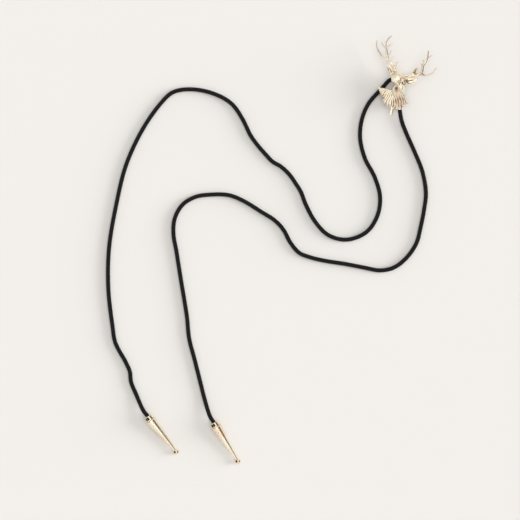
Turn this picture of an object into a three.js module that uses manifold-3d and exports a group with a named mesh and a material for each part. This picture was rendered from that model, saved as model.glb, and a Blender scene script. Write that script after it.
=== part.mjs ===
// Bolo tie laid flat: a cast stag's bust slide with its cord clasp, a braided cord and two cone tips.
// Millimetres, +Z up from the table. The origin is on the table under the heel of the clasp.

import * as THREE from 'three';
import { mergeVertices } from 'three/addons/utils/BufferGeometryUtils.js';
import Module from 'manifold-3d';

const wasm = await Module();
wasm.setup();

// Gap left between pieces that touch on the real tie
const seatGap = 0.3;

// Cord
const cordDiameter = 3.0;
const cordSides = 8;
const leftCordSteps = 38;
const loopCordSteps = 9;
const rightCordSteps = 33;
const strandFall = [0.45, 0.08];

// Clasp lever, a stamped sheet with a rolled knuckle
const leverLift = 0.4;
const leverThickness = 0.7;
const leverNeckWidth = 4.4;
const leverWingLeft = 4.4;
const leverWingRight = 6.4;
const leverWingTop = 4.3;
const leverWingLength = 5.0;
const leverTaperLength = 2.0;
const tabWidth = 2.1;
const tabLength = 5.2;
const tabSway = -0.19;
const tabMiddle = -1.2;
const tabTipShare = 0.6;
const pinRadius = 0.4;
const knuckleWall = 0.45;

// Clasp base, a plate with two cord guides, a heel folded down at one end and ears for the pin
const plateThickness = 0.8;
const plateClearance = 0.4;
const heelWidth = 6.8;
const heelThickness = 1.2;
const earThickness = 0.8;
const pinSetback = 2.2;
const earMargin = 1.2;
const guideWall = 0.45;
const guideLength = 1.6;
const guideFootWidth = 3.0;
const guideLap = 0.3;
const guideRunOut = 0.2;
const plateArmLower = { x: 0.2, y: -0.9 };
const plateArmUpper = { x: 1.2, y: 0.4 };
const plateHip = { x: 1.9, y: -4.6 };
const plateWaist = { x: 3.2, y: 4.05 };
const plateFlank = { x: -5.4, y: 1.55 };
const plateToeLeft = 1.3;
const plateToeRight = 0.8;
const plateToeRise = 2.65;
const leftGuide = { x: -9.35, y: 1.25, heading: 48.3 };
const rightGuide = { x: 4.0, y: -12.1, heading: 89 };

// Cast studs that hold the bust on the clasp base
const studRadius = 0.8;
const studHeadRadius = 1.4;
const studHeadThickness = 0.8;
const studs = [{ x: -3.6, y: -5.6 }, { x: 0.9, y: -9.2 }];

// Stag's bust
const ruffReach = 12.8;
const ruffDepth = 3.4;
const ruffEdge = 1.3;
const ruffRidges = 22;
const ruffRidgeHeight = 0.45;
const ruffBands = [0, 0.3, 0.55, 0.78, 0.93, 1];
const ruffRidgeRise = 1.5;
const throat = { x: 0.7, y: -0.35 };
const neckLength = 17.5;
const neckWidth = 10;
const neckDepth = 7.2;
const neckWedge = 0.12;
const headLength = 15;
const headWidth = 9.9;
const headDepth = 11.2;
const headWedge = 0.3;
const fullestShare = 0.4;
const poll = { x: 2.6, y: 14.1 };
const eyeRadius = 0.7;
const earLength = 9.9;
const earWidth = 5.2;
const leftEarLength = 7.8;
const leftEarWidth = 4.4;
const earDepth = 2.6;
const earWall = 0.8;
const earLeast = 0.08;
const earCupStart = 0.18;
const palmLength = 7.0;
const palmWidth = 3.6;
const palmDepth = 2.2;
const palmWall = 0.7;
const rightEarRoot = { across: 0.38, down: 0.52, front: 0.46, heading: 12 };
const leftEarRoot = { across: -0.37, down: 0.2, front: 0.42, heading: 115 };
const browPalm = { across: 1.08, down: 0.243, front: 0.286, heading: 66 };
const nape = { across: 0.02, down: 0.27 };
const antlerHeight = 21.5;
const antlerBeam = 1.05;
const antlerTip = 0.22;

// Cone tips
const tipLength = 32;
const tipMouthRadius = 3.2;
const tipMouthBore = 2.65;
const tipCollarLength = 3.0;
const tipCollarSwell = 0.1;
const tipGrooveSlope = 0.3;
const tipGrooveFloor = 0.2;
const tipGrooveDepth = 0.25;
const tipWidestRadius = 3.45;
const tipWidestAt = 4.2;
const tipNeckRadius = 0.95;
const tipBallRadius = 2.0;
const tipSocketDepth = 7;
const tipBoreShare = 0.6;
const tipApproach = 5;
const tipApproachRise = 0.75;
const tipSides = 16;
const leftTipMouth = { x: -172.3, y: -227.2, heading: -51.6 };
const rightTipMouth = { x: -126.1, y: -231.6, heading: -58.2 };

// Heights worked out from the sizes above
const cordRadius = cordDiameter / 2;
const leverTop = leverLift + leverThickness;
const claspCordZ = leverTop + seatGap + cordRadius;
const guideBore = cordRadius + seatGap;
const guideRadius = guideBore + guideWall;
const plateBottom = claspCordZ + cordRadius + plateClearance;
const plateTop = plateBottom + plateThickness;
const bustBack = plateTop + seatGap;
const knuckleRadius = pinRadius + seatGap + knuckleWall;
const pinZ = leverLift + knuckleRadius;
const pinY = -pinSetback;

// Cord routes, points chosen along the middle of the cord, x and y in millimetres
const leftRoute = [
  [-17.8, -8.5], [-22.5, -19.6], [-23.7, -32.9], [-20.2, -47.2], [-13.6, -59.8], [-9.8, -73.5],
  [-11.6, -86.8], [-19.2, -98.3], [-32.9, -103.7], [-45.8, -100.6], [-55.2, -91.1], [-61.9, -78.8],
  [-65.1, -70.5], [-69.2, -63.8], [-73.8, -57.5], [-79.4, -52.4], [-85.0, -49.1], [-89.9, -44.0],
  [-95.8, -37.2], [-100.4, -30.7], [-106.3, -18.8], [-113.7, -8.6], [-125.3, -1.9], [-141.4, 1.5],
  [-154.7, -0.6], [-164.1, -9.4], [-176.7, -27.9], [-187.6, -51.8], [-194.4, -79.4], [-199.4, -109.5],
  [-199.9, -138.2], [-197.1, -163.4], [-195.0, -175.8], [-187.9, -189.2], [-184.9, -196.0],
  [-184.0, -203.3], [-180.5, -211.8],
];
const rightRoute = [
  [5.3, -20.6], [8.8, -29.7], [14.7, -43.0], [19.9, -56.3], [22.3, -71.0], [21.0, -82.9],
  [18.5, -95.5], [15.7, -106.0], [8.8, -116.3], [-0.3, -123.3], [-9.8, -125.2], [-21.7, -123.1],
  [-34.3, -120.7], [-48.3, -118.5], [-58.8, -116.0], [-66.5, -112.8], [-72.8, -105.3], [-77.4, -96.8],
  [-83.3, -90.4], [-93.1, -84.1], [-105.0, -76.8], [-115.5, -72.6], [-128.1, -72.2], [-138.9, -73.8],
  [-148.0, -79.3], [-153.3, -88.5], [-154.4, -99.0], [-152.2, -112.3], [-149.1, -131.9],
  [-144.9, -157.8], [-143.4, -172.5], [-139.3, -188.6], [-135.5, -203.7], [-132.7, -214.8],
];
const loopRoute = [
  [-7.8, 2.99], [-6.25, 4.74], [-4.7, 6.48], [-3.42, 7.57], [-1.89, 8.25], [-0.23, 8.49], [1.42, 8.26],
  [2.96, 7.58], [4.24, 6.5], [5.18, 5.11], [5.69, 3.52], [5.75, 1.84], [5.45, -1.0], [5.0, -4.8],
  [4.5, -8.3], [4.12, -10.6],
];

// Ruff outline: direction from the throat in degrees and reach as a share of ruffReach
const ruffOutline = [
  { turn: 163, reach: 0.74 }, { turn: 168, reach: 0.9 }, { turn: 179, reach: 0.87 }, { turn: 189, reach: 0.82 },
  { turn: 202, reach: 0.72 }, { turn: 211, reach: 0.72 }, { turn: 214, reach: 0.89 }, { turn: 221, reach: 0.88 },
  { turn: 231, reach: 0.87 }, { turn: 241, reach: 0.91 }, { turn: 251, reach: 0.87 }, { turn: 262, reach: 0.89 },
  { turn: 270, reach: 0.95 }, { turn: 274, reach: 1.0 }, { turn: 278, reach: 0.9 }, { turn: 289, reach: 0.94 },
  { turn: 295, reach: 0.83 }, { turn: 305, reach: 0.88 }, { turn: 316, reach: 0.96 }, { turn: 322, reach: 0.98 },
  { turn: 328, reach: 0.75 }, { turn: 334, reach: 0.6 }, { turn: 349, reach: 0.48 },
];

// Neck sections from nape to chest: down as a share of neckLength, across and half of neckWidth,
// front and back of neckDepth
const neckSections = [
  { down: 0.0, across: 0.02, half: 0.3, front: 0.9, back: 0.12 },
  { down: 0.23, across: 0.1, half: 0.385, front: 0.95, back: 0.04 },
  { down: 0.38, across: 0.08, half: 0.4, front: 0.92, back: 0.0 },
  { down: 0.46, across: 0.02, half: 0.46, front: 0.88, back: 0.0 },
  { down: 0.63, across: -0.05, half: 0.475, front: 0.72, back: 0.0 },
  { down: 0.83, across: -0.1, half: 0.46, front: 0.5, back: 0.0 },
  { down: 1.0, across: -0.12, half: 0.42, front: 0.3, back: 0.0 },
];

// Head sections from poll to nose: down as a share of headLength, across and half of headWidth,
// front and back of headDepth
const headSections = [
  { down: 0.0, across: 0.0, half: 0.13, front: 0.47, back: 0.29 },
  { down: 0.11, across: 0.0, half: 0.35, front: 0.65, back: 0.2 },
  { down: 0.24, across: 0.015, half: 0.47, front: 0.77, back: 0.16 },
  { down: 0.38, across: 0.015, half: 0.5, front: 0.84, back: 0.18 },
  { down: 0.51, across: 0.035, half: 0.47, front: 0.89, back: 0.25 },
  { down: 0.62, across: 0.12, half: 0.385, front: 0.93, back: 0.36 },
  { down: 0.72, across: 0.2, half: 0.3, front: 0.96, back: 0.48 },
  { down: 0.85, across: 0.25, half: 0.24, front: 1.0, back: 0.59 },
  { down: 0.95, across: 0.28, half: 0.19, front: 0.98, back: 0.65 },
  { down: 1.0, across: 0.29, half: 0.12, front: 0.91, back: 0.73 },
];

// Eyes as shares of the head sizes
const eyes = [
  { down: 0.53, across: 0.06, front: 0.885 },
  { down: 0.565, across: 0.375, front: 0.8 },
];

// Ears and brow palm from root to point: place as a share of the length, half as a share of the width and depth
const leafSections = [
  { at: 0.0, half: 0.22 }, { at: 0.2, half: 0.4 }, { at: 0.45, half: 0.5 }, { at: 0.68, half: 0.42 },
  { at: 0.88, half: 0.2 }, { at: 1.0, half: 0.04 },
];
const leafSides = 10;
const loftSides = 14;
const antlerSides = 6;
const guideSides = 20;
const pinSides = 16;
const studSides = 12;
const ridgeColumns = 4;
const ballBands = 5;

// How far a cut runs past what it cuts
const cutPast = 1;

// Antler branches: points x, y and z as shares of antlerHeight from the poll and the back of the bust,
// start and end thickness as shares of antlerBeam
const leftAntler = [
  {
    from: 1.0, to: 0.85,
    points: [[-0.06, -0.04, 0.2], [-0.16, 0.18, 0.21], [-0.25, 0.27, 0.2], [-0.336, 0.396, 0.19]],
  },
  {
    from: 0.8, to: 0.25,
    points: [[-0.33, 0.39, 0.19], [-0.378, 0.38, 0.18], [-0.486, 0.432, 0.15], [-0.58, 0.536, 0.14],
      [-0.658, 0.676, 0.16], [-0.704, 0.822, 0.21], [-0.697, 0.936, 0.26], [-0.69, 1.008, 0.3]],
  },
  {
    from: 0.85, to: 0.5,
    points: [[-0.336, 0.396, 0.19], [-0.362, 0.517, 0.22], [-0.378, 0.68, 0.27], [-0.404, 0.794, 0.3],
      [-0.398, 0.94, 0.3]],
  },
  {
    from: 0.5, to: 0.2,
    points: [[-0.398, 0.93, 0.3], [-0.33, 1.03, 0.28], [-0.26, 1.1, 0.25], [-0.2, 1.145, 0.22]],
  },
  {
    from: 0.45, to: 0.2,
    points: [[-0.345, 0.44, 0.2], [-0.31, 0.53, 0.24], [-0.25, 0.6, 0.27], [-0.222, 0.666, 0.3]],
  },
  {
    from: 0.5, to: 0.22,
    points: [[-0.38, 0.71, 0.28], [-0.44, 0.765, 0.27], [-0.5, 0.84, 0.28], [-0.541, 0.94, 0.3]],
  },
  {
    from: 0.5, to: 0.2,
    points: [[-0.39, 0.76, 0.29], [-0.31, 0.8, 0.33], [-0.24, 0.86, 0.36], [-0.166, 0.907, 0.38]],
  },
  {
    from: 0.42, to: 0.2,
    points: [[-0.25, 0.27, 0.2], [-0.2, 0.36, 0.24], [-0.16, 0.43, 0.27], [-0.118, 0.49, 0.3]],
  },
  {
    from: 0.5, to: 0.22,
    points: [[-0.09, 0.1, 0.22], [-0.06, 0.2, 0.27], [-0.02, 0.3, 0.31], [0.074, 0.377, 0.34]],
  },
];
const rightAntler = [
  {
    from: 1.0, to: 0.8,
    points: [[0.18, -0.2, 0.17], [0.34, -0.175, 0.12], [0.5, -0.15, 0.13], [0.66, -0.13, 0.16],
      [0.757, -0.07, 0.18]],
  },
  {
    from: 0.75, to: 0.25,
    points: [[0.74, -0.08, 0.18], [0.8, -0.13, 0.16], [0.89, -0.147, 0.14], [1.03, -0.11, 0.14],
      [1.148, -0.02, 0.18], [1.25, 0.118, 0.24]],
  },
  {
    from: 0.85, to: 0.55,
    points: [[0.757, -0.08, 0.18], [0.784, 0.03, 0.22], [0.807, 0.165, 0.27], [0.875, 0.256, 0.31],
      [0.93, 0.37, 0.33], [0.955, 0.507, 0.33], [0.965, 0.66, 0.31]],
  },
  {
    from: 0.5, to: 0.22,
    points: [[0.85, 0.22, 0.29], [0.84, 0.26, 0.32], [0.81, 0.32, 0.34], [0.784, 0.37, 0.35]],
  },
  {
    from: 0.5, to: 0.3,
    points: [[0.8, 0.13, 0.26], [0.77, 0.16, 0.29], [0.755, 0.21, 0.31], [0.755, 0.25, 0.32]],
  },
  {
    from: 0.45, to: 0.22,
    points: [[0.945, 0.42, 0.33], [1.0, 0.44, 0.34], [1.05, 0.47, 0.35], [1.103, 0.53, 0.36]],
  },
];

// Basic maths
const lerp = THREE.MathUtils.lerp;
const radians = THREE.MathUtils.degToRad;
const headingVector = (degrees) => new THREE.Vector3(Math.cos(radians(degrees)), Math.sin(radians(degrees)), 0);

// Solids and booleans
function solid(geometry) {
  const bare = geometry.clone();
  bare.deleteAttribute('normal');
  bare.deleteAttribute('uv');
  const merged = mergeVertices(bare, 1e-4);
  const index = merged.index.array;
  const kept = [];
  for (let i = 0; i < index.length; i += 3) {
    const [a, b, c] = [index[i], index[i + 1], index[i + 2]];
    if (a !== b && b !== c && c !== a) kept.push(a, b, c);
  }
  return new wasm.Manifold(new wasm.Mesh({
    numProp: 3,
    vertProperties: new Float32Array(merged.attributes.position.array),
    triVerts: new Uint32Array(kept),
  }));
}

function geometryOf(manifold) {
  const mesh = manifold.getMesh();
  const geometry = new THREE.BufferGeometry();
  geometry.setAttribute('position', new THREE.BufferAttribute(new Float32Array(mesh.vertProperties), 3));
  geometry.setIndex(new THREE.BufferAttribute(new Uint32Array(mesh.triVerts), 1));
  geometry.computeVertexNormals();
  return geometry;
}

const joined = (solids) => solids.reduce((whole, piece) => whole.add(piece));

// A closed body through rings of points, with a flat or pointed cap at each end
function throughRings(rings) {
  const sides = rings[0].length;
  const points = rings.flat();
  const middle = (ring) => ring.reduce((sum, p) => sum.add(p), new THREE.Vector3()).divideScalar(sides);
  points.push(middle(rings[0]), middle(rings[rings.length - 1]));
  const triangles = [];
  for (let r = 0; r < rings.length - 1; r += 1) {
    for (let s = 0; s < sides; s += 1) {
      const a = r * sides + s;
      const b = r * sides + (s + 1) % sides;
      triangles.push(a, b, b + sides, a, b + sides, a + sides);
    }
  }
  const last = (rings.length - 1) * sides;
  for (let s = 0; s < sides; s += 1) {
    const next = (s + 1) % sides;
    triangles.push(points.length - 2, next, s, points.length - 1, last + s, last + next);
  }
  return facingOut(points, triangles);
}

// Turns the triangles over if they enclose a negative volume
function facingOut(points, triangles) {
  let volume = 0;
  for (let i = 0; i < triangles.length; i += 3) {
    const [a, b, c] = [points[triangles[i]], points[triangles[i + 1]], points[triangles[i + 2]]];
    volume += a.dot(b.clone().cross(c));
  }
  if (volume < 0) triangles.reverse();
  const geometry = new THREE.BufferGeometry().setFromPoints(points);
  geometry.setIndex(triangles);
  return geometry;
}

// A tapered rod through points, round or flattened, its thickness running from start to end
function taperedRod(points, start, end, sides) {
  const path = new THREE.CatmullRomCurve3(points, false, 'centripetal');
  const steps = points.length * 2 - 1;
  const rings = [];
  for (let i = 0; i <= steps; i += 1) {
    const at = path.getPointAt(i / steps);
    const along = path.getTangentAt(i / steps);
    const side = new THREE.Vector3(0, 0, 1).cross(along).normalize();
    const up = along.clone().cross(side);
    const radius = lerp(start, end, i / steps);
    const ring = [];
    for (let s = 0; s < sides; s += 1) {
      const turn = 2 * Math.PI * s / sides;
      ring.push(at.clone()
        .addScaledVector(side, radius * Math.cos(turn))
        .addScaledVector(up, radius * Math.sin(turn)));
    }
    rings.push(ring);
  }
  return throughRings(rings);
}

// A lofted form through level sections, each an oval with its own front and back depth
function lofted(top, length, width, depth, sections, sides, wedge) {
  return throughRings(sections.map((section) => {
    const y = top.y - section.down * length;
    const x = top.x + section.across * width;
    const back = bustBack + section.back * depth;
    const front = bustBack + section.front * depth;
    const middle = lerp(back, front, fullestShare);
    const ring = [];
    for (let s = 0; s < sides; s += 1) {
      const turn = 2 * Math.PI * s / sides;
      const lift = Math.sin(turn);
      const narrowing = 1 - wedge * Math.max(0, lift);
      const z = middle + lift * (lift > 0 ? front - middle : middle - back);
      ring.push(new THREE.Vector3(x + section.half * width * Math.cos(turn) * narrowing, y, z));
    }
    return ring;
  }));
}

// A box given by its lowest and highest corners
function block(low, high) {
  const box = new THREE.BoxGeometry(high[0] - low[0], high[1] - low[1], high[2] - low[2]);
  box.translate((low[0] + high[0]) / 2, (low[1] + high[1]) / 2, (low[2] + high[2]) / 2);
  return solid(box);
}

// A cylinder centred on a point, lying along a heading in plan
function lyingCylinder(at, heading, radius, length, sides) {
  const cylinder = new THREE.CylinderGeometry(radius, radius, length, sides);
  cylinder.rotateZ(radians(heading - 90));
  cylinder.translate(at.x, at.y, at.z);
  return solid(cylinder);
}

function standingCylinder(at, radius, bottom, top, sides) {
  const cylinder = new THREE.CylinderGeometry(radius, radius, top - bottom, sides);
  cylinder.rotateX(Math.PI / 2);
  cylinder.translate(at.x, at.y, (bottom + top) / 2);
  return solid(cylinder);
}

// A flat sheet cut to an outline in plan
function sheet(outline, bottom, top) {
  const shape = new THREE.Shape(outline.map(([x, y]) => new THREE.Vector2(x, y)));
  const geometry = new THREE.ExtrudeGeometry(shape, { depth: top - bottom, bevelEnabled: false });
  geometry.translate(0, 0, bottom);
  return solid(geometry);
}

// Clasp base
function guideSolids(guide) {
  const at = { x: guide.x, y: guide.y, z: claspCordZ };
  const tube = lyingCylinder(at, guide.heading, guideRadius, guideLength, guideSides);
  const foot = new THREE.BoxGeometry(guideFootWidth, guideLength, claspCordZ - cordRadius);
  foot.rotateZ(radians(guide.heading - 90));
  foot.translate(guide.x, guide.y, (claspCordZ - cordRadius) / 2);
  return [tube, solid(foot)];
}

function guideCut(guide) {
  const at = { x: guide.x, y: guide.y, z: claspCordZ };
  return lyingCylinder(at, guide.heading, guideBore, guideLength + 2 * cutPast, guideSides);
}

function plateOutline() {
  const half = heelWidth / 2;
  const end = rightGuide.y + guideLap;
  const beside = (point, offset) => [point.x + offset.x, point.y + offset.y];
  return [
    beside(leftGuide, plateArmLower), beside(leftGuide, plateArmUpper),
    [-half, heelThickness / 2], [half, heelThickness / 2],
    [rightGuide.x + plateToeLeft, pinY], [rightGuide.x + plateToeRight, rightGuide.y + plateToeRise],
    [rightGuide.x + plateToeRight, end], [rightGuide.x - plateToeLeft, end],
    beside(rightGuide, plateFlank), [leftGuide.x + plateWaist.x, rightGuide.y + plateWaist.y],
    beside(leftGuide, plateHip),
  ];
}

function claspBase() {
  const half = heelWidth / 2;
  const earEnd = pinY - earMargin;
  const heel = block([-half, -heelThickness / 2, 0], [half, heelThickness / 2, plateTop]);
  const ears = [-half, half - earThickness].map(
    (x) => block([x, earEnd, 0], [x + earThickness, 0, plateTop]),
  );
  const pin = lyingCylinder({ x: 0, y: pinY, z: pinZ }, 0, pinRadius, heelWidth - earThickness, pinSides);
  const plate = sheet(plateOutline(), plateBottom, plateTop);
  const guides = [leftGuide, rightGuide].flatMap(guideSolids);
  const holes = studs.map((stud) => standingCylinder(stud, studRadius + seatGap, 0, plateTop + cutPast, studSides));
  return joined([plate, heel, ...ears, pin, ...guides])
    .subtract(joined([guideCut(leftGuide), guideCut(rightGuide), ...holes]));
}

// Clasp lever
function leverOutline() {
  const neck = leverNeckWidth / 2;
  const wingEnd = -leverWingTop - leverWingLength;
  const tabTop = wingEnd - leverTaperLength;
  const half = tabWidth / 2;
  const tip = half * tabTipShare;
  const tabEnd = tabTop - tabLength;
  const sway = tabSway * tabLength;
  return [
    [-neck, pinY], [-neck, -leverWingTop], [-leverWingLeft, -leverWingTop], [-leverWingLeft, wingEnd],
    [tabMiddle - half, tabTop], [tabMiddle - half + sway, tabEnd + half - tip],
    [tabMiddle - tip + sway, tabEnd], [tabMiddle + tip + sway, tabEnd],
    [tabMiddle + half + sway, tabEnd + half - tip], [tabMiddle + half, tabTop],
    [neck * tabTipShare, wingEnd - leverThickness],
    [leverWingRight, wingEnd], [leverWingRight, -leverWingTop], [neck, -leverWingTop], [neck, pinY],
  ];
}

function claspLever() {
  const plate = sheet(leverOutline(), leverLift, leverTop);
  const at = { x: 0, y: pinY, z: pinZ };
  const knuckle = lyingCylinder(at, 0, knuckleRadius, leverNeckWidth, pinSides);
  const bore = lyingCylinder(at, 0, pinRadius + seatGap, leverNeckWidth + 2 * cutPast, pinSides);
  return plate.add(knuckle).subtract(bore);
}

// Ruff: a ridged fan that thins from the throat to its edge, flat behind
function ruff() {
  const rows = ruffOutline;
  const first = rows[0].turn;
  const span = rows[rows.length - 1].turn - first;
  const columns = ruffRidges * ridgeColumns;
  const reachAt = (turn) => {
    const later = rows.findIndex((row, i) => i > 0 && row.turn >= turn);
    const next = later < 0 ? rows.length - 1 : later;
    const share = (turn - rows[next - 1].turn) / (rows[next].turn - rows[next - 1].turn);
    return ruffReach * lerp(rows[next - 1].reach, rows[next].reach, share);
  };
  const points = [];
  for (const face of ['front', 'back']) {
    for (let c = 0; c <= columns; c += 1) {
      const turn = first + span * c / columns;
      const ridge = Math.abs(Math.cos(Math.PI * ruffRidges * c / columns));
      for (const band of ruffBands) {
        const reach = reachAt(turn) * band;
        const crown = lerp(ruffEdge, ruffDepth, Math.sqrt(1 - band * band));
        const height = face === 'back' ? 0 : crown + ruffRidgeHeight * ridge * Math.min(1, band * ruffRidgeRise);
        points.push(new THREE.Vector3(
          throat.x + reach * Math.cos(radians(turn)), throat.y + reach * Math.sin(radians(turn)), bustBack + height,
        ));
      }
    }
  }
  const width = ruffBands.length;
  const back = (columns + 1) * width;
  const triangles = [];
  const quad = (a, b, c, d) => triangles.push(a, b, c, a, c, d);
  for (let c = 0; c < columns; c += 1) {
    for (let b = 0; b < width - 1; b += 1) {
      const i = c * width + b;
      quad(i, i + 1, i + width + 1, i + width);
      quad(back + i, back + i + width, back + i + width + 1, back + i + 1);
    }
    const edge = c * width + width - 1;
    quad(edge, back + edge, back + edge + width, edge + width);
  }
  for (let b = 0; b < width - 1; b += 1) {
    quad(b, back + b, back + b + 1, b + 1);
    const i = columns * width + b;
    quad(i, i + 1, back + i + 1, back + i);
  }
  return solid(facingOut(points, triangles));
}

// A point given by its shares of the head's width, length and depth
const onHead = (place) => new THREE.Vector3(
  poll.x + place.across * headWidth, poll.y - place.down * headLength, bustBack + place.front * headDepth,
);

// Ears and the brow palm: a leaf hollowed on its front side
function cuppedLeaf(place, length, width, depth, wall) {
  const root = onHead(place);
  const along = headingVector(place.heading);
  const side = new THREE.Vector3(0, 0, 1).cross(along).normalize();
  const up = along.clone().cross(side);
  const leaf = (grow, lift, start) => throughRings(leafSections.map((row) => {
    const ring = [];
    for (let s = 0; s < leafSides; s += 1) {
      const turn = 2 * Math.PI * s / leafSides;
      const half = Math.max(earLeast, row.half * width - grow);
      const thick = Math.max(earLeast, row.half * depth - grow / 2);
      ring.push(root.clone()
        .addScaledVector(along, start + row.at * (length - start - grow))
        .addScaledVector(side, half * Math.cos(turn))
        .addScaledVector(up, lift + thick * Math.sin(turn)));
    }
    return ring;
  }));
  const outer = solid(leaf(0, 0, 0));
  const hollow = solid(leaf(wall, wall, length * earCupStart));
  return outer.subtract(hollow);
}

function antler(branches) {
  return branches.map((branch) => {
    const points = branch.points.map(([x, y, z]) => new THREE.Vector3(
      poll.x + x * antlerHeight, poll.y + y * antlerHeight, bustBack + z * antlerHeight,
    ));
    const start = antlerBeam * branch.from;
    const end = Math.max(antlerTip, antlerBeam * branch.to);
    return solid(taperedRod(points, start, end, antlerSides));
  });
}

function eyeBead(eye) {
  const bead = new THREE.IcosahedronGeometry(eyeRadius, 1);
  const at = onHead(eye);
  bead.translate(at.x, at.y, at.z);
  return solid(bead);
}

function bustStuds() {
  const headTop = plateBottom - seatGap;
  const headBottom = headTop - studHeadThickness;
  return studs.flatMap((stud) => [
    standingCylinder(stud, studRadius, (headTop + headBottom) / 2, bustBack + ruffEdge / 2, studSides),
    standingCylinder(stud, studHeadRadius, headBottom, headTop, studSides),
  ]);
}

function stagBust() {
  const neckTop = { x: poll.x + nape.across * headWidth, y: poll.y - nape.down * headLength };
  const neck = solid(lofted(neckTop, neckLength, neckWidth, neckDepth, neckSections, loftSides, neckWedge));
  const head = solid(lofted(poll, headLength, headWidth, headDepth, headSections, loftSides, headWedge));
  return joined([
    ruff(), neck, head, ...eyes.map(eyeBead),
    cuppedLeaf(rightEarRoot, earLength, earWidth, earDepth, earWall),
    cuppedLeaf(leftEarRoot, leftEarLength, leftEarWidth, earDepth, earWall),
    cuppedLeaf(browPalm, palmLength, palmWidth, palmDepth, palmWall),
    ...antler(leftAntler), ...antler(rightAntler), ...bustStuds(),
  ]);
}

// Cone tip: a turned cup with a collar, a groove, a long taper and a ball end, mouth at the origin
function coneTip() {
  const boreEnd = cordRadius + seatGap;
  const collarEnd = tipWidestRadius - tipCollarSwell;
  const profile = [
    [0, tipSocketDepth], [boreEnd, tipSocketDepth], [boreEnd, tipSocketDepth * tipBoreShare],
    [tipMouthBore, 0], [tipMouthRadius, 0], [tipMouthRadius + tipCollarSwell, tipCollarLength / 2],
    [collarEnd, tipCollarLength], [collarEnd - tipGrooveDepth, tipCollarLength + tipGrooveSlope],
    [collarEnd - tipGrooveDepth, tipCollarLength + tipGrooveSlope + tipGrooveFloor], [tipWidestRadius, tipWidestAt],
  ];
  const ballStart = Math.asin(tipNeckRadius / tipBallRadius);
  profile.push([tipNeckRadius, tipLength - tipBallRadius * Math.cos(ballStart)]);
  for (let i = 1; i <= ballBands; i += 1) {
    const turn = lerp(ballStart, Math.PI, i / ballBands);
    const radius = i === ballBands ? 0 : tipBallRadius * Math.sin(turn);
    profile.push([radius, tipLength - tipBallRadius * Math.cos(turn)]);
  }
  return new THREE.LatheGeometry(profile.map(([r, y]) => new THREE.Vector2(r, y)), tipSides);
}

// Where a tip lies: on its widest ring and its ball, so its axis slopes down towards the ball
const tipSlope = Math.asin((tipWidestRadius - tipBallRadius) / (tipLength - tipWidestAt));
const tipMouthZ = tipWidestRadius / Math.cos(tipSlope) + tipWidestAt * Math.tan(tipSlope);
const tipAxis = (mouth) => headingVector(mouth.heading).multiplyScalar(Math.cos(tipSlope))
  .setZ(-Math.sin(tipSlope));
const tipPoint = (mouth, depth) => new THREE.Vector3(mouth.x, mouth.y, tipMouthZ)
  .addScaledVector(tipAxis(mouth), depth);

// Cord tubes
function cordTube(points, steps) {
  const section = new THREE.Shape();
  for (let s = 0; s < cordSides; s += 1) {
    const turn = 2 * Math.PI * s / cordSides;
    section[s === 0 ? 'moveTo' : 'lineTo'](cordRadius * Math.cos(turn), cordRadius * Math.sin(turn));
  }
  const path = new THREE.CatmullRomCurve3(points, false, 'centripetal');
  return new THREE.ExtrudeGeometry(section, { steps, extrudePath: path, bevelEnabled: false });
}

// A point on a guide's axis, by its distance from the guide's middle
const guidePoint = (guide, distance) => new THREE.Vector3(guide.x, guide.y, claspCordZ)
  .addScaledVector(headingVector(guide.heading), distance);

// A strand that lies on the table: it comes down from its guide and rises into its tip
function strandPoints(guide, side, route, mouth) {
  const lying = route.map(([x, y], i) => {
    return new THREE.Vector3(x, y, lerp(cordRadius, claspCordZ, strandFall[i] ?? 0));
  });
  const end = tipSocketDepth - seatGap;
  return [
    guidePoint(guide, side * seatGap / 2), guidePoint(guide, side * (guideLength / 2 + guideRunOut)), ...lying,
    tipPoint(mouth, -tipApproach).setZ(lerp(cordRadius, tipMouthZ, tipApproachRise)), tipPoint(mouth, 0),
    tipPoint(mouth, end * tipBoreShare), tipPoint(mouth, end),
  ];
}

function loopPoints() {
  return [
    guidePoint(leftGuide, seatGap / 2),
    ...loopRoute.map(([x, y]) => new THREE.Vector3(x, y, claspCordZ)),
    guidePoint(rightGuide, seatGap / 2),
  ];
}

// Materials
const castMetal = new THREE.MeshStandardMaterial({ color: 0xead9bb, roughness: 0.22, metalness: 1 });
const stampedMetal = new THREE.MeshStandardMaterial({ color: 0xd9cfb8, roughness: 0.32, metalness: 1 });
const braid = new THREE.MeshStandardMaterial({ color: 0x17171c, roughness: 0.75, metalness: 0 });

function namedMesh(name, geometry, material) {
  const mesh = new THREE.Mesh(geometry, material);
  mesh.name = name;
  return mesh;
}

function placedTip(name, mouth) {
  const mesh = namedMesh(name, geometryOf(solid(coneTip())), castMetal);
  mesh.position.copy(tipPoint(mouth, 0));
  mesh.quaternion.setFromUnitVectors(new THREE.Vector3(0, 1, 0), tipAxis(mouth));
  return mesh;
}

// Assembly
const slide = new THREE.Group();
slide.add(
  namedMesh('stag_bust', geometryOf(stagBust()), castMetal),
  namedMesh('clasp_base', geometryOf(claspBase()), stampedMetal),
  namedMesh('clasp_lever', geometryOf(claspLever()), stampedMetal),
);

const cord = new THREE.Group();
const leftPoints = strandPoints(leftGuide, -1, leftRoute, leftTipMouth);
const rightPoints = strandPoints(rightGuide, -1, rightRoute, rightTipMouth);
cord.add(
  namedMesh('cord_left', geometryOf(solid(cordTube(leftPoints, leftCordSteps))), braid),
  namedMesh('cord_loop', geometryOf(solid(cordTube(loopPoints(), loopCordSteps))), braid),
  namedMesh('cord_right', geometryOf(solid(cordTube(rightPoints, rightCordSteps))), braid),
  placedTip('tip_left', leftTipMouth),
  placedTip('tip_right', rightTipMouth),
);

const boloTie = new THREE.Group();
boloTie.add(slide, cord);
export default boloTie;
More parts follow.
